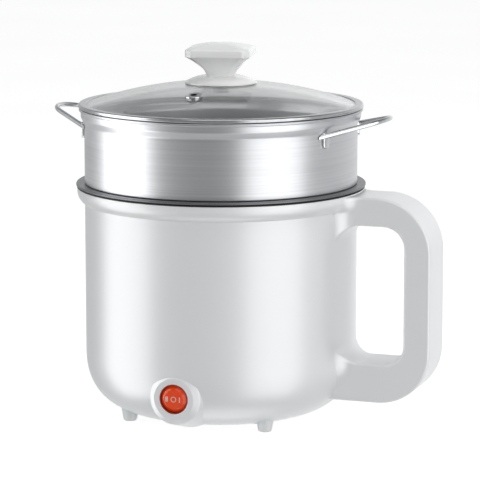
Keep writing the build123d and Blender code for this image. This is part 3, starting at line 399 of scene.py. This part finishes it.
def lathe(profile, count):
    """A profile spun about the axis: radius times cosine and sine of the angle, and height."""
    angle = np.linspace(0, 2 * np.pi, count, endpoint=False)
    radius, height = profile[:, 0, None], profile[:, 1, None]
    return np.stack(np.broadcast_arrays(radius * np.cos(angle), radius * np.sin(angle), height), axis=-1)


def capped(grid):
    """A tube's grid with each end closed by a row whose points meet in the middle of that end."""
    caps = grid[[0, -1]].mean(axis=1, keepdims=True) + 0 * grid[:2]
    return np.concatenate([caps[:1], grid, caps[1:]])


def sheet(points, loop_rows=False, keep=None):
    """Points and quads of grids whose columns close in a loop; keep picks quads by their middles."""
    index = np.arange(points[..., 0].size).reshape(points.shape[:-1])
    if loop_rows:
        index = np.concatenate([index, index[..., :1, :]], axis=-2)
    index = np.concatenate([index, index[..., :1]], axis=-1)
    corners = (index[..., :-1, :-1], index[..., :-1, 1:], index[..., 1:, 1:], index[..., 1:, :-1])
    quads = np.stack(corners, axis=-1).reshape(-1, 4)
    points = points.reshape(-1, 3)
    if keep is not None:
        quads = quads[keep(points[quads].mean(axis=1))]
    return points, quads


def piece(name, body, slot, sheets, nodes=(), sharp=40.0, finish=None):
    """One shown mesh made of sheets, joined where they meet, riding on a body in place of the CAD nodes."""
    firsts = np.cumsum([0] + [len(part[0]) for part in sheets])
    points = np.concatenate([part[0] for part in sheets])
    quads = np.concatenate([part[1] + first for part, first in zip(sheets, firsts)])
    used, quads = np.unique(quads, return_inverse=True)
    points = (points[used] + (AXIS_X, 0, 0)) * 0.001
    mesh = bpy.data.meshes.new(name)
    mesh.from_pydata(points.tolist(), [], quads.reshape(-1, 4).tolist())
    form = bmesh.new()
    form.from_mesh(mesh)
    bmesh.ops.remove_doubles(form, verts=form.verts, dist=2e-6)
    form.to_mesh(mesh)
    form.free()
    mesh.shade_smooth()
    mesh.set_sharp_from_angle(angle=math.radians(sharp))
    mesh.materials.append(materials[finish or slot])
    obj = bpy.data.objects.new(name, mesh)
    bpy.context.scene.collection.objects.link(obj)
    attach(obj, body)
    if nodes:
        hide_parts(*nodes)


def to_front(points):
    """Points of the switch's own frame, with z out of its face, put in place on the pot's front."""
    x, y, z = points[..., 0], points[..., 1], points[..., 2]
    return np.stack([x, -SWITCH_Y - z, SWITCH_Z + y], axis=-1)


def to_back(points):
    """Points of the inlet's own frame, with z out of its face, put in place on the pot's back."""
    x, y, z = points[..., 0], points[..., 1], points[..., 2]
    return np.stack([-x, INLET_Y + z, INLET_Z + y], axis=-1)


def corner_curve(inset, steps=24):
    """The base corner's cubic curve from the flat base to the wall, moved inwards by inset."""
    share = np.linspace(0, 1, steps + 1)[:, None]
    wall, low = SHELL_R - inset, BASE_Z + inset
    points = (
        (BASE_FLAT_R, low),
        (BASE_FLAT_R + CORNER_FULLNESS * (wall - BASE_FLAT_R), low),
        (wall, CORNER_Z - CORNER_FULLNESS * (CORNER_Z - low)),
        (wall, CORNER_Z),
    )
    weights = ((1 - share) ** 3, 3 * share * (1 - share) ** 2, 3 * share ** 2 * (1 - share), share ** 3)
    return sum(weight * np.array(point) for weight, point in zip(weights, points))


def outer_profile():
    """The shell's outside from the edge of the base cover to the rim's outer edge."""
    centre = COLLAR_R - COLLAR_ARC_R
    band_z = RIM_Z - COLLAR_BAND
    end = math.acos((SHELL_R - centre) / COLLAR_ARC_R)
    angle = np.linspace(end, 0, 13)
    arc = np.stack([centre + COLLAR_ARC_R * np.cos(angle), band_z - COLLAR_ARC_R * np.sin(angle)], axis=-1)
    crease = arc[:1] - (0, 0.5)
    top = rounded([(COLLAR_R, band_z), (COLLAR_R, RIM_Z), (COLLAR_R - 3, RIM_Z)], [0.5], 4)
    start = [(COVER_R, BASE_Z), (BASE_FLAT_R - 0.4, BASE_Z)]
    return np.concatenate([start, corner_curve(0), [(SHELL_R, CORNER_Z + 0.4)], crease, arc, top])


outside = outer_profile()


def wall_radius(z):
    """Radius of the shell's outside at a height."""
    rising = outside[outside[:, 1] <= RIM_Z - 0.5]
    return np.interp(z, rising[:, 1], rising[:, 0])


def flare(distance, radius):
    """How far a concave round of this radius has spread at a distance from the wall it runs into."""
    return radius - np.sqrt(radius ** 2 - (radius - np.clip(distance, 0, radius)) ** 2)


def loop_line(end_x, low_z, top_z, low_r, top_r):
    """A C-shaped line of two arms, two corner arcs and a grip, with as many points for any size."""
    arm = np.linspace(0, 1, ARM_ROWS) ** 2
    grip = np.linspace(0, 1, 13)[1:-1]
    turn = np.linspace(0, np.pi / 2, 17)
    low_x, top_x = end_x - low_r, end_x - top_r
    start, stop = low_z + low_r, top_z - top_r
    parts = [
        (ROOT_X + arm * (low_x - ROOT_X), low_z + 0 * arm),
        (low_x + low_r * np.sin(turn[1:]), start - low_r * np.cos(turn[1:])),
        (end_x + 0 * grip, start + grip * (stop - start)),
        (top_x + top_r * np.cos(turn), stop + top_r * np.sin(turn)),
        (ROOT_X + arm[-2::-1] * (top_x - ROOT_X), top_z + 0 * arm[1:]),
    ]
    return np.concatenate([np.stack(part, axis=-1) for part in parts])


def handle_section(half, edge, hold):
    """A rounded rectangle as share of the thickness, offset along it in mm and place across the width."""
    turn = np.linspace(0, np.pi / 2, 6)
    flat = np.linspace(-1, 1, 25) * (half - edge - hold)
    side = np.linspace(0, 1, 13)
    slide = (2 * side - 1) * (edge + hold)
    low, high = np.zeros(6), np.ones(6)
    share = [np.ones(25), high, 1 - side, low, np.zeros(25), low, side, high]
    offset = [
        np.zeros(25), edge * (np.cos(turn) - 1), slide, edge * (1 - np.sin(turn)),
        np.zeros(25), edge * (1 - np.cos(turn)), -slide, edge * (np.sin(turn) - 1),
    ]
    reach = half - edge
    across = [
        flat, reach + edge * np.sin(turn), np.full(13, half), reach + edge * np.cos(turn),
        -flat, -reach - edge * np.sin(turn), np.full(13, -half), -reach - edge * np.cos(turn),
    ]
    return np.concatenate(share), np.concatenate(offset), np.concatenate(across)


finger_line = loop_line(WINDOW_X, WINDOW_LOW_Z, WINDOW_TOP_Z, WINDOW_LOW_R, WINDOW_TOP_R)
back_line = loop_line(HANDLE_X, HANDLE_LOW_Z, HANDLE_TOP_Z, HANDLE_LOW_R, HANDLE_TOP_R)


def handle_grid():
    """A rounded rectangle carried round the loop, whose arms start on the curved wall and flare into it."""
    share, offset, across = handle_section(HANDLE_HALF, HANDLE_EDGE_R, 0.5)
    through = back_line - finger_line
    deep = share + offset / np.linalg.norm(through, axis=1)[:, None]
    x = finger_line[:, :1] + through[:, :1] * deep
    z = finger_line[:, 1:] + through[:, 1:] * deep
    row = np.arange(len(finger_line))[:, None]
    low = row < ARM_ROWS
    high = row >= len(finger_line) - ARM_ROWS
    low_end = finger_line[ARM_ROWS - 1, 0] + through[ARM_ROWS - 1, 0] * deep
    top_end = finger_line[-ARM_ROWS, 0] + through[-ARM_ROWS, 0] * deep
    end_x = np.where(low, low_end, top_end)
    straight = np.where(low | high, (x - ROOT_X) / (end_x - ROOT_X), 1.0)
    y = np.broadcast_to(across, x.shape)
    from_wall = straight * (end_x - np.sqrt(wall_radius(z) ** 2 - y ** 2))
    on_arm = straight < 1
    fade = np.clip((z - SPREAD_FROM_Z) / (SPREAD_FULL_Z - SPREAD_FROM_Z), 0, 1)
    y = np.where(on_arm, y * (1 + fade * flare(from_wall, ARM_SPREAD_R) / HANDLE_HALF), y)
    lift = np.where(low, 1.0, -1.0) * flare(from_wall, ARM_RISE_R) * np.clip(1 - deep, 0, 1)
    z = np.where(on_arm, z + lift, z)
    wall_x = np.sqrt((wall_radius(z) - WALL_OVERLAP) ** 2 - y ** 2)
    x = np.where(on_arm, wall_x + straight * (end_x - wall_x), x)
    return capped(np.stack([x, y, z], axis=-1))


def cover_grid():
    """The strip on the finger side: a flat section, a little proud, carried along the loop's inner line."""
    line = finger_line[STRIP_SKIP:-STRIP_SKIP]
    out = line - back_line[STRIP_SKIP:-STRIP_SKIP]
    out = out / np.linalg.norm(out, axis=1)[:, None]
    edge = STRIP_HALF - 0.2
    across = np.array([STRIP_HALF, STRIP_HALF, edge, -edge, -STRIP_HALF, -STRIP_HALF])
    proud = np.tile([-STRIP_SUNK, 0.1, STRIP_PROUD, STRIP_PROUD, 0.1, -STRIP_SUNK], (len(line), 1))
    proud[[0, -1]] = -STRIP_SUNK
    x = line[:, :1] + out[:, :1] * proud
    z = line[:, 1:] + out[:, 1:] * proud
    return np.stack([x, np.broadcast_to(across, x.shape), z], axis=-1)


def round_box(width, height, radius, count=12):
    """Points round a rectangle with round corners, counter-clockwise."""
    turn = np.linspace(0, np.pi / 2, count)
    arc = np.stack([np.cos(turn), np.sin(turn)], axis=-1) * radius
    right, high = width / 2 - radius, height / 2 - radius
    quarter = np.stack([-arc[:, 1], arc[:, 0]], axis=-1)
    return np.concatenate([
        arc + (right, high), quarter + (-right, high), -arc + (-right, -high), -quarter + (right, -high),
    ])


def stacked(outlines):
    """Outlines of the same count, each with its own height, as the rows of a grid."""
    return np.stack([np.column_stack([line, np.full(len(line), z)]) for line, z in outlines])


def make_shell():
    """One white piece: spun shell and switch boss, carried handle loop, and stacked inlet pad."""
    bore = SHELL_R - SHELL_WALL
    inside = np.concatenate([
        [(bore, RIM_Z), (bore, CORNER_Z)], corner_curve(SHELL_WALL)[::-1],
        [(BASE_FLAT_R, LEDGE_Z), (LEDGE_R, LEDGE_Z), (LEDGE_R, COVER_SEAT_Z), (COVER_R, COVER_SEAT_Z)],
    ])
    profile = spaced(np.concatenate([outside, inside]), 3.0)

    def keep(middle):
        x, y, z = middle.T
        front = (np.hypot(x, z - SWITCH_Z) < SWITCH_CUT_R) & (y < 0)
        back = (np.abs(x) < INLET_CUT_X) & (np.abs(z - INLET_Z) < INLET_CUT_Z) & (y > 0)
        return ~(front | back)

    root = BOSS_FOOT_R + (BOSS_DEPTH - BOSS_FOOT_DEPTH) * math.tan(math.radians(BOSS_TAPER))
    boss = rounded([
        (root, -BOSS_DEPTH), (BOSS_FOOT_R, -BOSS_FOOT_DEPTH), (BOSS_FACE_R, 0), (SWITCH_HOLE_R, 0),
        (SWITCH_HOLE_R, -SWITCH_HOLE_DEPTH),
    ], [1.5, 0.5, 0.3], 6)
    width, height, corner = INLET_PAD
    steps = ((0, -INLET_DEPTH), (0, -0.9), (0.1, -0.4), (0.4, 0))
    opening = round_box(*INLET_OPENING)
    pad = [(round_box(width - 2 * e, height - 2 * e, corner - e), z) for e, z in steps]
    pad = stacked(pad + [(opening, 0), (opening, -INLET_DEPTH)])
    sheets = [
        sheet(lathe(profile, 384), loop_rows=True, keep=keep),
        sheet(handle_grid()),
        sheet(to_front(lathe(boss, 128)), loop_rows=True),
        sheet(to_back(pad), loop_rows=True),
    ]
    piece("pot_shell", "pot", "white_shell", sheets, ["outer_shell"], 32)
    piece("handle_strip", "pot", "white_shell", [sheet(cover_grid())], ["handle_cover"])


def make_feet():
    """Four tapered plugs, each spun about its own axis."""
    profile = rounded([(0, 0), (FOOT_R, 0), FOOT_AIM], [FOOT_EDGE_R], 8)
    profile = np.concatenate([profile[:-1], [(FOOT_END_R, FOOT_END_Z), (0, FOOT_END_Z)]])
    for node in ("foot_rear_right", "foot_rear_left", "foot_front_left", "foot_front_right"):
        low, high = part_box(node)
        centre = np.array([(low.x + high.x) * 500 - AXIS_X, (low.y + high.y) * 500, 0])
        piece(node + "_plug", "pot", "pale_foot", [sheet(lathe(profile, 48) + centre)], [node])


def make_pot():
    """Inner pot and its gasket, spun about the axis."""
    low, out, under = LINER_FLOOR_Z, LINER_R + LINER_T, FLANGE_Z - LINER_T
    outer = rounded([(0, low - LINER_T), (out, low - LINER_T), (out, under)], [LINER_CORNER_R + LINER_T], 10)
    rim = rounded([
        (out, under), (FLANGE_R, under), (FLANGE_R, FLANGE_Z), (LINER_R, FLANGE_Z), (LINER_R, low), (0, low),
    ], [0.3, 0.5, 2.0, LINER_CORNER_R], 8)
    liner = sheet(lathe(np.concatenate([outer, rim]), 256))
    piece("pot_liner", "pot", "pot_coating", [liner], ["inner_pot"])
    ring = rounded([
        (SEAL_IN_R, SEAL_LOW_Z), (SEAL_OUT_R, SEAL_LOW_Z), (SEAL_OUT_R, RIM_Z), (SEAL_LIP_R, RIM_Z),
        (SEAL_LIP_R, SEAL_TOP_Z), (SEAL_SLOPE_R, SEAL_TOP_Z), (SEAL_IN_R, SEAL_SLOPE_Z),
        (SEAL_IN_R, SEAL_LOW_Z),
    ], [0.3, 0.2, 0.3, 0.3, 0.3, 0.3], 3)
    piece("rim_seal", "pot", "black_rubber", [sheet(lathe(ring, 256))], ["rim_gasket"])


def hole_cells(ring):
    """Cells of one ring of floor holes, each a grid from its lower edge, through the hole, to its upper."""
    half = HOLE_PITCH / 2
    if ring == 0:
        angle = np.radians(np.arange(360))[None, ::-1]
        edge = half * np.stack([np.cos(angle), np.sin(angle)], axis=-1)
        centre = np.zeros((1, 1, 2))
    else:
        # Six cells more in each ring, so a cell is this many whole degrees wide
        width = 60 // ring
        low = -(width // 2)
        around = np.arange(low, low + width + 1.0)
        rise = np.linspace(-1, 1, 7)
        q = np.concatenate([around, np.full(5, around[-1]), around[::-1], np.full(5, around[0])])
        p = np.concatenate([np.full(width + 1, -1.0), rise[1:-1], np.full(width + 1, 1.0), rise[-2:0:-1]])
        at = np.arange(6 * ring)[:, None] * width
        angle = np.radians(at + q)
        reach = HOLE_PITCH * ring + half * p
        edge = reach[None, :, None] * np.stack([np.cos(angle), np.sin(angle)], axis=-1)
        middle = np.radians(at)
        centre = HOLE_PITCH * ring * np.stack([np.cos(middle), np.sin(middle)], axis=-1)
    ray = edge - centre
    rim = centre + HOLE_R * ray / np.linalg.norm(ray, axis=-1, keepdims=True)
    above = FLOOR_Z + STEAMER_T
    rows = []
    for line, z in ((edge, FLOOR_Z), (rim, FLOOR_Z), (rim, above), (edge, above)):
        rows.append(np.concatenate([line, np.full(line.shape[:-1] + (1,), z)], axis=-1))
    return np.stack(rows, axis=1)


def make_steamer():
    """Drawn steel tray: a profile spun about the axis, with a floor of cells that hold a hole each."""
    wall, collar, spigot, t = SHELL_R, STEAMER_COLLAR_R, SPIGOT_R, STEAMER_T
    step_z = SHOULDER_Z + SHOULDER_RISE
    outer = rounded([
        (HOLED_R, FLOOR_Z), (spigot, FLOOR_Z), (spigot, STEAMER_Z), (wall, STEAMER_Z), (wall, SHOULDER_Z),
        (collar, step_z), (collar, LIP_LOW_Z), (LIP_R, LIP_LOW_Z), (LIP_R, STEAMER_TOP_Z),
        (collar - t, STEAMER_TOP_Z),
    ], [6, 1.2, 0.4, 3, 3, 0.3, 0.76, 0.76], 8)
    inner = rounded([
        (collar - t, STEAMER_TOP_Z), (collar - t, step_z), (wall - t, SHOULDER_Z), (wall - t, STEAMER_Z + t),
        (spigot - t, STEAMER_Z + t), (spigot - t, FLOOR_Z + t), (HOLED_R, FLOOR_Z + t),
    ], [2.2, 3.8, 3.2, 2.0, 5.2], 8)
    profile = np.concatenate([outer, inner[1:]])
    sheets = [sheet(lathe(profile, 360))] + [sheet(hole_cells(ring)) for ring in range(HOLE_RINGS)]
    piece("steamer_sheet", "steamer", "steamer_steel", sheets, ["steamer_tray"])


def make_wires():
    """The steamer's wire loops: a circle carried along a bent line, with stacked outlines as flat ends."""
    root_x = math.sqrt((SHELL_R + WIRE_R) ** 2 - WIRE_ROOT_Y ** 2)
    line = rounded([
        (root_x, -WIRE_ROOT_Y, WIRE_ROOT_Z), (WIRE_TIP_X, -WIRE_TIP_Y, WIRE_TIP_Z),
        (WIRE_TIP_X, WIRE_TIP_Y, WIRE_TIP_Z), (root_x, WIRE_ROOT_Y, WIRE_ROOT_Z),
    ], [WIRE_BEND_R, WIRE_BEND_R], 16)
    line = spaced(line, 3.0)
    along = np.gradient(line, axis=0)
    along = along / np.linalg.norm(along, axis=1)[:, None]
    upright = np.cross((WIRE_TIP_X - root_x, 0, WIRE_TIP_Z - WIRE_ROOT_Z), (0, 1, 0))
    upright = np.broadcast_to(upright / np.linalg.norm(upright), along.shape)
    out = np.cross(along, upright)
    angle = np.linspace(0, 2 * np.pi, 24, endpoint=False)[:, None]
    tube = line[:, None] + WIRE_R * (np.cos(angle) * out[:, None] - np.sin(angle) * upright[:, None])
    for end in (0, -1):
        wall_out = line[end] * (1, 1, 0) / np.hypot(*line[end, :2])
        short = SHELL_R + WIRE_END_GAP - tube[end] @ wall_out
        tube[end] += short[:, None] * along[end] / (along[end] @ wall_out)
    grids = [capped(tube)]
    half = WIRE_PAD_W / 2
    steps = ((half, -0.6), (0, -0.6), (0, 1.2), (0.25, 1.6), (0.7, 1.8), (half, 1.9))
    pad = stacked([(round_box(WIRE_PAD_W - 2 * e, WIRE_PAD_H - 2 * e, half - e), z) for e, z in steps])
    across, up, proud = pad[..., :1], pad[..., 1:2], pad[..., 2:]
    for turn in (-1, 1):
        a = turn * math.atan2(WIRE_ROOT_Y, root_x)
        facing = np.array([math.cos(a), math.sin(a), 0])
        level = np.array([-math.sin(a), math.cos(a), 0])
        grids.append(facing * (SHELL_R + proud) + level * across + up * (0, 0, 1) + (0, 0, WIRE_PAD_Z))
    for side, node in ((1, "steamer_handle_right"), (-1, "steamer_handle_left")):
        turned = np.array([side, side, 1])
        piece(node + "_wire", "steamer", "bright_steel", [sheet(grid * turned) for grid in grids], [node])


def glass_z(radius, inset):
    """Height of the dome's outer face, or of the face inset below it, at a radius."""
    return GLASS_TOP_Z - GLASS_BALL_R + np.sqrt((GLASS_BALL_R - inset) ** 2 - radius ** 2)


def make_lid():
    """Glass dome and its steel band, spun about the axis."""
    out = np.linspace(GLASS_EDGE_R, GLASS_HOLE_R, 72)
    top = np.stack([out, glass_z(out, 0)], axis=-1)
    low = np.stack([out[::-1], glass_z(out[::-1], GLASS_T)], axis=-1)

    def keep(middle):
        return np.hypot(middle[:, 0], middle[:, 1] + VENT_Y) > VENT_R

    dome = sheet(lathe(np.concatenate([top, low]), 256), loop_rows=True, keep=keep)
    piece("lid_dome", "lid", "lid_glass", [dome], ["lid_glass"])
    ring = rounded([
        (BAND_IN_R, BAND_LOW_Z + 1), (BAND_IN_R, BAND_LOW_Z), (BAND_SPIGOT_R, BAND_LOW_Z),
        (BAND_SPIGOT_R, BAND_Z), (BAND_R, BAND_Z), (BAND_R, BAND_TOP_Z), (BAND_IN_R, BAND_TOP_Z),
        (BAND_IN_R, BAND_LOW_Z + 1),
    ], [0.4, 0.4, 0.3, 0.8, 1.2, 0.6], 6)
    # The band's finish is the wire's steel darkened as painted shade
    piece("lid_rim", "lid", "bright_steel", [sheet(lathe(ring, 256))], ["lid_band"], finish="band_steel_painted_shade")


def make_knob():
    """Knob: a domed skirt, a stem that widens by a power of height to eight sides, and a crowned top."""
    angle = np.linspace(0, 2 * np.pi, 360, endpoint=False)
    facing = np.radians(KNOB_TURN + 45 * np.arange(8))[:, None]
    reach = np.where(np.arange(8) % 2 == 0, KNOB_HALF_W, KNOB_CORNER_W)[:, None]
    sides = (np.clip(np.cos(angle - facing), 0, None) / reach) ** KNOB_SIDE_POWER
    head = sides.sum(axis=0) ** (-1 / KNOB_SIDE_POWER)
    edge_z = float(glass_z(KNOB_SKIRT_R, 0)) + 0.03
    skirt = KNOB_SKIRT_R
    rim = [(KNOB_FOOT_R, KNOB_Z), (skirt, edge_z), (skirt, edge_z + 1), (KNOB_NECK_R, edge_z + 3)]
    rim = np.concatenate([[(0, KNOB_Z)], rounded(rim, [0.1, 0.35], 4)[:-1]])
    bow = np.linspace(0, 1, 14)[1:-1]
    skirt_r = rim[-1, 0] + (KNOB_NECK_R - rim[-1, 0]) * bow
    skirt_z = rim[-1, 1] + (KNOB_NECK_Z - rim[-1, 1]) * bow + 4 * KNOB_SKIRT_BOW * bow * (1 - bow)
    climb = np.linspace(0, 1, 41)
    stem_r = KNOB_NECK_R + (head - KNOB_NECK_R) * climb[:, None] ** KNOB_STEM_POWER
    stem_z = KNOB_NECK_Z + (KNOB_BAND_Z - KNOB_NECK_Z) * climb
    inset = np.array([0, 0, 0.12, 0.35, 0.65])
    band_z = np.array([KNOB_BAND_Z + 0.4, *(KNOB_EDGE_Z - inset[:0:-1])])
    inward = np.linspace(0.96, 0, 24)
    crown_z = KNOB_TOP_Z - (KNOB_TOP_Z - KNOB_EDGE_Z) * inward ** 2
    spun = np.concatenate([rim[:, 0], skirt_r])[:, None] + 0 * angle
    radius = np.concatenate([spun, stem_r, head - inset[:, None], inward[:, None] * head])
    height = np.concatenate([rim[:, 1], skirt_z, stem_z, band_z, crown_z])[:, None] + 0 * angle
    body = np.stack([radius * np.cos(angle), radius * np.sin(angle), height], axis=-1)
    piece("lid_knob", "lid", "white_knob", [sheet(body)], ["knob"], 50)


def rocker_face(x):
    """Height of the rocker's dished face above its pivot, across the face."""
    sag = ROCKER_DISH_R - math.sqrt(ROCKER_DISH_R ** 2 - ROCKER_R ** 2)
    return ROCKER_FACE - sag + ROCKER_DISH_R - np.sqrt(ROCKER_DISH_R ** 2 - x ** 2)


def marked(outlines):
    """Outlines as rows that follow the rocker's face at their own heights above it."""
    grid = stacked(outlines)
    grid[..., 2] += rocker_face(grid[..., 0]) - ROCKER_PIVOT
    return to_front(grid)


def make_rocker():
    """Rocker: a ball cut off by a dished face that slopes off softly near its rim, and its white marks."""
    polar = np.radians(np.linspace(ROCKER_BACK, 0, 120))[:, None]
    angle = np.linspace(0, 2 * np.pi, 96, endpoint=False)
    x = ROCKER_R * np.sin(polar) * np.cos(angle)
    y = ROCKER_R * np.sin(polar) * np.sin(angle)
    ball = ROCKER_R * np.cos(polar) + 0 * angle
    beyond = (np.hypot(x, y) - ROCKER_FLAT_R) / RIM_SOFT
    face = rocker_face(x) - ROCKER_EDGE_SLOPE * RIM_SOFT * np.logaddexp(0, beyond)
    z = -RIM_SOFT * np.logaddexp(-ball / RIM_SOFT, -face / RIM_SOFT) - ROCKER_PIVOT
    grid = np.stack([x, y, z], axis=-1)
    grid = np.concatenate([grid[:1] * (0, 0, 1), grid])
    piece("rocker_ball", "rocker", "orange_rocker", [sheet(to_front(grid))], ["rocker"], 60)
    sheets = []
    for place, width in MARK_BARS:
        half = width / 2
        bar = []
        for e, h in ((half, -MARK_DEEP), (0, -MARK_DEEP), (0, 0.02), (0.1, MARK_PROUD), (half, MARK_PROUD)):
            line = round_box(width - 2 * e, MARK_TALL - 2 * e, max(MARK_CORNER_R - e, 0), 6)
            bar.append((line + (place, 0), h))
        sheets.append(sheet(marked(bar)))
    turn = np.linspace(0, 2 * np.pi, 48, endpoint=False)
    circle = np.stack([np.cos(turn), np.sin(turn)], axis=-1)
    out, inner = MARK_RING_R, MARK_RING_R - MARK_LINE
    rings = ((out, -MARK_DEEP), (out, MARK_PROUD), (inner, MARK_PROUD), (inner, -MARK_DEEP))
    sheets.append(sheet(marked([(circle * radius, h) for radius, h in rings]), loop_rows=True))
    piece("rocker_marks", "rocker", "white_wire", sheets)


make_shell()
make_feet()
make_pot()
make_steamer()
make_wires()
make_lid()
make_knob()
make_rocker()

# Pale studio floor, strip lights to both sides, a soft light overhead, and the photo's camera
VIEW_AZ = math.radians(19.74)
towards = Vector((math.sin(VIEW_AZ), -math.cos(VIEW_AZ), 0))
rightward = Vector((math.cos(VIEW_AZ), math.sin(VIEW_AZ), 0))
axis = Vector((AXIS_X * 0.001, 0, 0))


def aside(degrees):
    """The level direction that is turned by so many degrees from the camera's side towards the right."""
    turn = math.radians(degrees)
    return math.cos(turn) * towards + math.sin(turn) * rightward


def make_floor():
    """A wide pale floor."""
    mesh = bpy.data.meshes.new("studio_floor")
    mesh.from_pydata([(-6, -6, 0), (6, -6, 0), (6, 6, 0), (-6, 6, 0)], [], [(0, 1, 2, 3)])
    floor = bpy.data.objects.new("studio_floor", mesh)
    bpy.context.scene.collection.objects.link(floor)
    material = finish_of("pale studio paper", "#B8B8B8", "#BEBEBE", (0.9, 1.0), 200, 30, 0.0)
    tree = material.node_tree
    shader = tree.nodes["Principled BSDF"]
    seen = add(tree, "ShaderNodeLightPath").outputs["Is Camera Ray"]
    glow = add(tree, "ShaderNodeMapRange", {"Value": seen, "To Max": 0.8})
    tree.links.new(glow.outputs[0], shader.inputs["Emission Strength"])
    shader.inputs["Emission Color"].default_value = linear("#FFFFFF")
    shader.inputs["Specular IOR Level"].default_value = 0.0
    mesh.materials.append(material)
    floor.visible_glossy = False
    floor.visible_shadow = False


def area(name, angle, distance, height, width, tall, bright, aim_z, matt=True, mirrored=True):
    """A light of even brightness at an angle from the camera's side, aimed at the axis."""
    light = bpy.data.lights.new(name, "AREA")
    light.shape = "RECTANGLE"
    light.size = width
    light.size_y = tall
    light.energy = bright * math.pi * width * tall
    obj = bpy.data.objects.new(name, light)
    obj.visible_diffuse = matt
    obj.visible_glossy = mirrored
    obj.visible_transmission = mirrored
    obj.location = axis + distance * aside(angle) + Vector((0, 0, height))
    aim = axis + Vector((0, 0, aim_z)) - obj.location
    obj.rotation_euler = aim.to_track_quat("-Z", "Y").to_euler()
    bpy.context.scene.collection.objects.link(obj)


def make_fill():
    """A fill light: the product of four ramps over the ray's direction, given in the rows below."""
    world = bpy.data.worlds.new("studio_fill")
    world.use_nodes = True
    tree = world.node_tree
    ray = add(tree, "ShaderNodeTexCoord").outputs["Generated"]
    # Direction, the ray's share along it where a ramp starts and ends, and the strength at both:
    # dim on the camera's side and bright behind the pot, dark far up, a dark flag, and a bright table
    rows = (
        (-towards, -1.0, 1.0, 0.38, 1.1),
        (Vector((0, 0, 1)), 0.22, 0.75, 1.0, 0.3),
        (aside(-148), 0.72, 0.95, 1.0, 0.55),
        (Vector((0, 0, 1)), -0.88, -0.98, 1.0, 2.4),
    )
    strength = 1.0
    for direction, start, end, first, last in rows:
        along = add(tree, "ShaderNodeVectorMath", {0: ray, 1: direction}, operation="DOT_PRODUCT")
        ramp = add(tree, "ShaderNodeMapRange", {
            "Value": along.outputs["Value"], "From Min": start, "From Max": end,
            "To Min": first, "To Max": last})
        product = add(tree, "ShaderNodeMath", {0: strength, 1: ramp.outputs[0]}, operation="MULTIPLY")
        strength = product.outputs[0]
    fill = tree.nodes["Background"]
    fill.inputs["Color"].default_value = linear("#FAFBFC")
    tree.links.new(strength, fill.inputs["Strength"])
    bpy.context.scene.world = world


make_floor()
make_fill()
# Angle in degrees, distance, height, width and tallness in metres, brightness, and the height aimed at
area("left_strip", -86, 1.2, 0.1, 1.16, 2.4, 2.1, 0.1, matt=False)
area("right_strip", 44, 1.2, 0.1, 1.12, 2.4, 1.6, 0.1, matt=False)
area("front_softbox", 0, 0.7, 1.5, 1.2, 1.2, 1.1, 0.2)
area("front_fill", 0, 1.2, 0.15, 1.2, 0.8, 1.3, 0.1, mirrored=False)
area("right_fill", 80, 1.2, 0.15, 1.0, 0.8, 0.9, 0.1, mirrored=False)
area("top_fill", 85, 0.7, 1.2, 0.8, 0.8, 2.3, 0.15, mirrored=False)
bpy.context.scene.view_settings.view_transform = "Standard"

camera = bpy.data.cameras.new("photo_camera")
camera.sensor_width = 36.0
camera.lens = 200.4
view = bpy.data.objects.new("photo_camera", camera)
view.location = (0.5653, -1.61886, 0.40574)
yaw, pitch = math.radians(0.414), math.radians(9.635)
level = -towards * math.cos(yaw) + rightward * math.sin(yaw)
ahead = level * math.cos(pitch) - Vector((0, 0, 1)) * math.sin(pitch)
view.rotation_euler = ahead.to_track_quat("-Z", "Y").to_euler()
bpy.context.scene.collection.objects.link(view)
bpy.context.scene.camera = view
